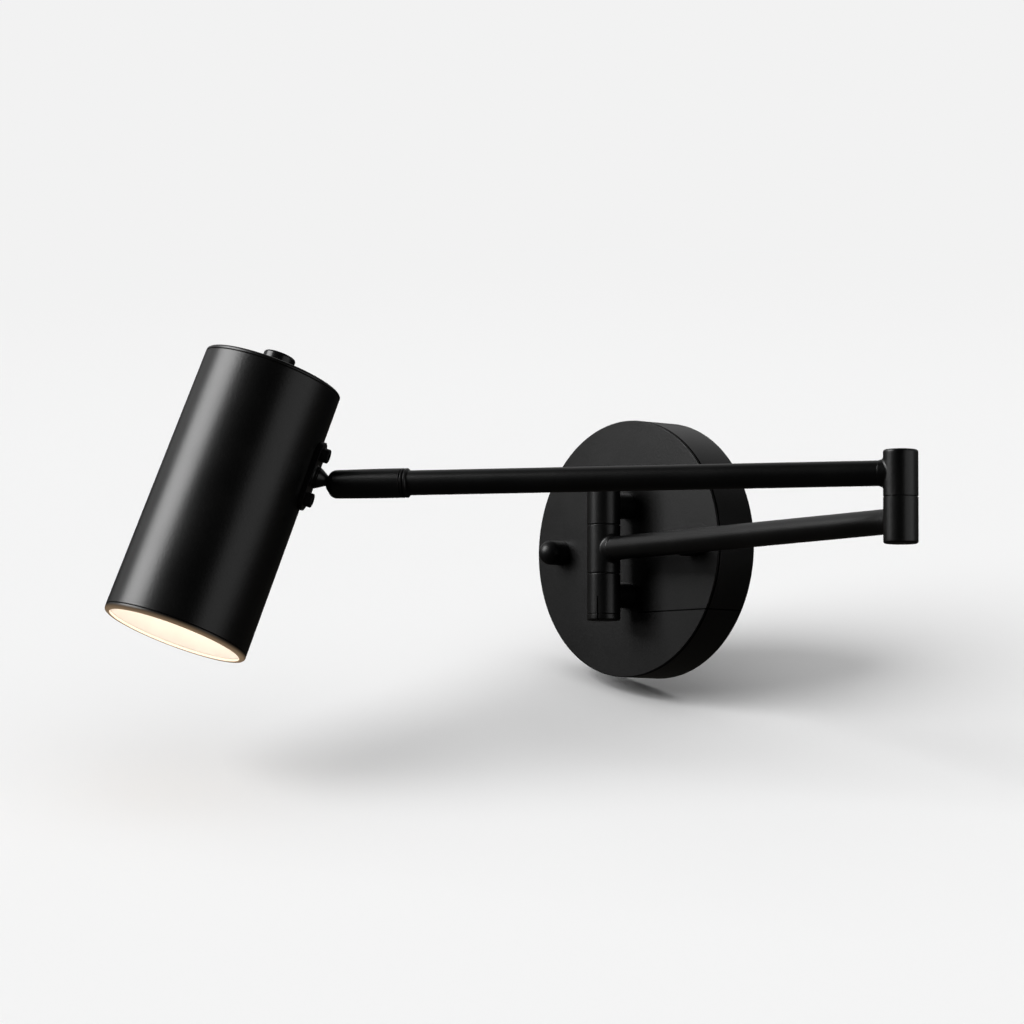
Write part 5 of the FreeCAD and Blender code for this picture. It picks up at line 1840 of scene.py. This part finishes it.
# ---------------------------------------------------------------- studio
@dataclass(frozen=True)
class View:
    """The picture's camera, in degrees and millimetres; what it clips is in metres."""

    azimuth: float = 46.7535
    elevation: float = -4.2944
    roll: float = 0.1092
    distance: float = 2693.06
    lens: float = 185.939
    aside: float = -76.70
    above: float = 19.783
    sensor: float = 36.0
    clip: tuple[float, float] = (0.05, 40.0)

    def axes(self) -> tuple[Vector, Vector, Vector]:
        """Directions of the camera.

        Returns:
            Its right, its up and its back.
        """
        east, rise, roll = (math.radians(angle) for angle in (self.azimuth, self.elevation, self.roll))
        back = Vector((math.sin(east) * math.cos(rise), -math.cos(east) * math.cos(rise), math.sin(rise)))
        right = Vector((math.cos(east), math.sin(east), 0.0))
        up = back.cross(right)
        turned_right = right * math.cos(roll) + up * math.sin(roll)
        turned_up = up * math.cos(roll) - right * math.sin(roll)
        return turned_right, turned_up, back

    def aim(self, right: float, up: float, back: float) -> Vector:
        """Direction given in the camera's own axes."""
        across, rise, toward = self.axes()
        return (across * right + rise * up + toward * back).normalized()

    def place(self) -> None:
        """Make the scene's camera."""
        right, up, back = self.axes()
        level_right, level_up, _ = replace(self, roll=0.0).axes()
        spot = back * self.distance + level_right * self.aside + level_up * self.above
        lens = bpy.data.cameras.new("picture_camera")
        lens.lens = self.lens
        lens.sensor_width = self.sensor
        lens.clip_start, lens.clip_end = self.clip
        camera = bpy.data.objects.new("picture_camera", lens)
        rotation = Matrix((right, up, back)).transposed().to_4x4()
        camera.matrix_world = Matrix.Translation(spot * METRE) @ rotation
        bpy.context.scene.collection.objects.link(camera)
        bpy.context.scene.camera = camera


@dataclass(frozen=True)
class Softbox:
    """Soft rectangular lamp: its aim in the camera's axes, lengths in metres, power in watts."""

    name: str
    target: tuple[float, float, float]
    aim: tuple[float, float, float]
    distance: float
    size: tuple[float, float]
    power: float
    spread: float = 180.0


@dataclass(frozen=True)
class Sky:
    """Even light on the floor sheet alone, wide enough to soften the light's shadow."""

    name: str
    aim: tuple[float, float, float]
    strength: float
    angle: float


KEY = Softbox("key_softbox", (-0.060, -0.290, 0.0), (-0.745, 0.640, 0.08), 0.75, (0.60, 0.60), 2.4, 95.0)
SOFTBOXES = (
    Softbox("right_fill", (0.0, -0.18, 0.0), (0.74, 0.10, 0.64), 1.30, (0.85, 0.9), 1.5),
    Softbox("left_sheen", (0.0, -0.03, 0.0), (-0.95, 0.16, 0.22), 0.90, (0.40, 0.40), 0.22),
    Softbox("right_edge", (0.24, -0.07, 0.0), (0.96, 0.12, 0.24), 0.45, (0.24, 0.32), 0.022, 60.0),
)
SKIES = (
    Sky("floor_key", (-0.775, 0.477, 0.417), 2.85, 46.0),
    Sky("floor_dome", (0.0, 0.95, 0.30), 1.52, 92.0),
)


@dataclass
class Studio:
    """Pale sheet under the light, soft lamps and the pale surround; lengths in metres."""

    view: View
    pale: float = 0.888
    room: float = 0.02
    backdrop_share: float = 0.36
    backdrop_edge: tuple[float, float] = (0.05, 0.75)
    mirrored_room: float = 0.005
    sheet_tilt: float = 21.0
    sheet_half: float = 2.4
    fade: tuple[float, float] = (0.55, 0.95)
    dim: tuple[float, float, float] = (0.02, 0.0187, 0.0168)
    sheet_origin: tuple[float, float, float] = (0.0, -0.020, -0.076)
    glowing: Sequence[bpy.types.Object] = ()
    shaded: Sequence[bpy.types.Object] = ()
    lit: bpy.types.Collection | None = None
    floor_only: bpy.types.Collection | None = None

    def lamp(self, box: Softbox) -> bpy.types.Object:
        """Soft lamp for the light itself.

        Args:
            box: what it is like and where it stands.

        Returns:
            The lamp's object.
        """
        light = bpy.data.lights.new(box.name, "AREA")
        light.shape = "RECTANGLE"
        light.size, light.size_y = box.size
        light.energy = box.power
        light.spread = math.radians(box.spread)
        toward = self.view.aim(*box.aim)
        item = self.hang(light, toward)
        item.location = Vector(box.target) + toward * box.distance
        item.light_linking.receiver_collection = self.lit
        return item

    def shine(self, sky: Sky) -> None:
        """Light for the floor sheet alone.

        Args:
            sky: what it is like and where it comes from.
        """
        light = bpy.data.lights.new(sky.name, "SUN")
        light.energy = sky.strength
        light.angle = math.radians(sky.angle)
        self.hang(light, self.view.aim(*sky.aim)).light_linking.receiver_collection = self.floor_only

    @staticmethod
    def hang(light: bpy.types.Light, toward: Vector) -> bpy.types.Object:
        """Object for a lamp, turned to shine away from a direction.

        Args:
            light: the lamp.
            toward: direction from what it lights to the lamp.

        Returns:
            The object.
        """
        item = bpy.data.objects.new(light.name, light)
        item.rotation_mode = "QUATERNION"
        item.rotation_quaternion = toward.to_track_quat("Z", "Y")
        bpy.context.scene.collection.objects.link(item)
        return item

    def world(self) -> None:
        """Pale backdrop behind the light and a dim room on the picture's side."""
        world = bpy.data.worlds.new("studio")
        bpy.context.scene.world = world
        world.cycles.sampling_method = "NONE"
        world.use_nodes = True
        shader = Shader(world.node_tree)
        direction = shader.node("ShaderNodeTexCoord", {}, {}).outputs["Generated"]
        away = -self.view.axes()[2]
        behind = shader.number("ShaderNodeVectorMath", {"operation": "DOT_PRODUCT"}, {0: direction, 1: away}, "Value")
        backdrop = behind.band(*self.backdrop_edge)
        rays = shader.node("ShaderNodeLightPath", {}, {})
        camera, glossy, through = (
            Number(shader, rays.outputs[f"Is {kind} Ray"]) for kind in ("Camera", "Glossy", "Transmission")
        )
        mirrored = glossy.maths("MAXIMUM", glossy, through)
        strength = camera * self.pale + (1.0 - camera) * (
            mirrored * (backdrop * self.backdrop_share + self.mirrored_room) + (1.0 - mirrored) * self.room
        )
        glow = shader.node("ShaderNodeBackground", {}, {"Color": (1.0, 1.0, 1.0, 1.0), "Strength": strength})
        shader.node("ShaderNodeOutputWorld", {}, {0: glow.outputs[0]})

    @staticmethod
    def leave_out(name: str, items: Sequence[bpy.types.Object]) -> bpy.types.Collection:
        """Receivers of a lamp that lights everything but some items.

        Args:
            name: the collection's name.
            items: what the lamp leaves out.

        Returns:
            The collection.
        """
        group = bpy.data.collections.new(name)
        for item in items:
            group.objects.link(item)
        for entry in group.collection_objects:
            entry.light_linking.link_state = "EXCLUDE"
        return group

    def sheet(self) -> bpy.types.Object:
        """Pale floor sheet that runs back under the light and keeps its shadow.

        Returns:
            The sheet.
        """
        back = self.view.axes()[2]
        level = Vector((back.x, back.y, 0.0)).normalized()
        across = Vector((-level.y, level.x, 0.0))
        tilt = math.radians(self.sheet_tilt)
        down = level * math.cos(tilt) + Vector((0.0, 0.0, -1.0)) * math.sin(tilt)
        origin, half = Vector(self.sheet_origin), self.sheet_half
        mesh = bpy.data.meshes.new("floor_sheet")
        corners = [origin + across * x * half + down * y * half for x, y in ((-1, -1), (-1, 1), (1, 1), (1, -1))]
        mesh.from_pydata(corners, [], [(0, 1, 2, 3)])
        mesh.update()
        floor = bpy.data.objects.new("floor_sheet", mesh)
        bpy.context.scene.collection.objects.link(floor)
        mesh.materials.append(self.paper(origin))
        self.lit = self.leave_out("lamps_leave_out", (floor,))
        self.floor_only = bpy.data.collections.new("sky_reaches")
        self.floor_only.objects.link(floor)
        for piece in self.glowing:
            piece.light_linking.receiver_collection = self.lit
        return floor

    def paper(self, origin: Vector) -> bpy.types.Material:
        """Pale paper that fades into the surround's own tone far from the light.

        Args:
            origin: the sheet's middle.

        Returns:
            The material.
        """
        material, shader = shade("pale_floor")
        where = shader.place()
        offset = shader.node("ShaderNodeVectorMath", {"operation": "SUBTRACT"}, {0: where, 1: origin}).outputs[0]
        spread = shader.number("ShaderNodeVectorMath", {"operation": "LENGTH"}, {0: offset}, "Value")
        far = spread.band(*self.fade)
        fibre = shader.noise(where, 2.0, 2.0)
        rays = shader.node("ShaderNodeLightPath", {}, {})
        camera, through = (Number(shader, rays.outputs[f"Is {kind} Ray"]) for kind in ("Camera", "Transmission"))
        seen = camera.maths("MAXIMUM", camera, through)
        tone = tint((self.pale,) * 3)
        paper = shader.node("ShaderNodeBsdfPrincipled", {}, {
            "Base Color": tone, "Roughness": 0.9 + (fibre - 0.5) * 0.05, "Specular IOR Level": 0.0,
        })
        glow = shader.node("ShaderNodeEmission", {}, {"Color": tone})
        dim = shader.node("ShaderNodeEmission", {}, {"Color": tint(self.dim)})
        clear = shader.node("ShaderNodeBsdfTransparent", {}, {})
        faded = shader.node("ShaderNodeMixShader", {}, {0: far, 1: paper.outputs[0], 2: glow.outputs[0]})
        bounced = shader.node("ShaderNodeMixShader", {}, {0: seen, 1: dim.outputs[0], 2: faded.outputs[0]})
        behind = shader.number("ShaderNodeNewGeometry", {}, {}, "Backfacing")
        sided = shader.node("ShaderNodeMixShader", {}, {0: behind, 1: bounced.outputs[0], 2: clear.outputs[0]})
        shader.node("ShaderNodeOutputMaterial", {}, {0: sided.outputs[0]})
        return material

    def build(self) -> None:
        """Camera, lamps, surround and floor."""
        self.view.place()
        bpy.context.scene.view_settings.view_transform = "Standard"
        floor = self.sheet()
        self.world()
        key = self.lamp(KEY)
        key.light_linking.receiver_collection = self.leave_out("key_leaves_out", (floor, *self.shaded))
        for box in SOFTBOXES:
            self.lamp(box)
        for sky in SKIES:
            self.shine(sky)


def main() -> None:
    """Build the light from the wall outwards, then the studio."""
    logging.basicConfig(level=logging.INFO, format="%(message)s")
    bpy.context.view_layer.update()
    grid, coil = FastenerGrid(), CoilTree()
    rim = WallPlate(grid).build()
    for part in (BackOfPlate(grid), WallPivot(), Arms(), BallJoint(coil), Bracket(grid), SpotHead(), PushSwitch()):
        LOG.info("building %s", type(part).__name__)
        part.build()
    disc = Optics().build()
    Studio(View(), glowing=(disc,), shaded=(rim,)).build()


if __name__ == "__main__":
    main()
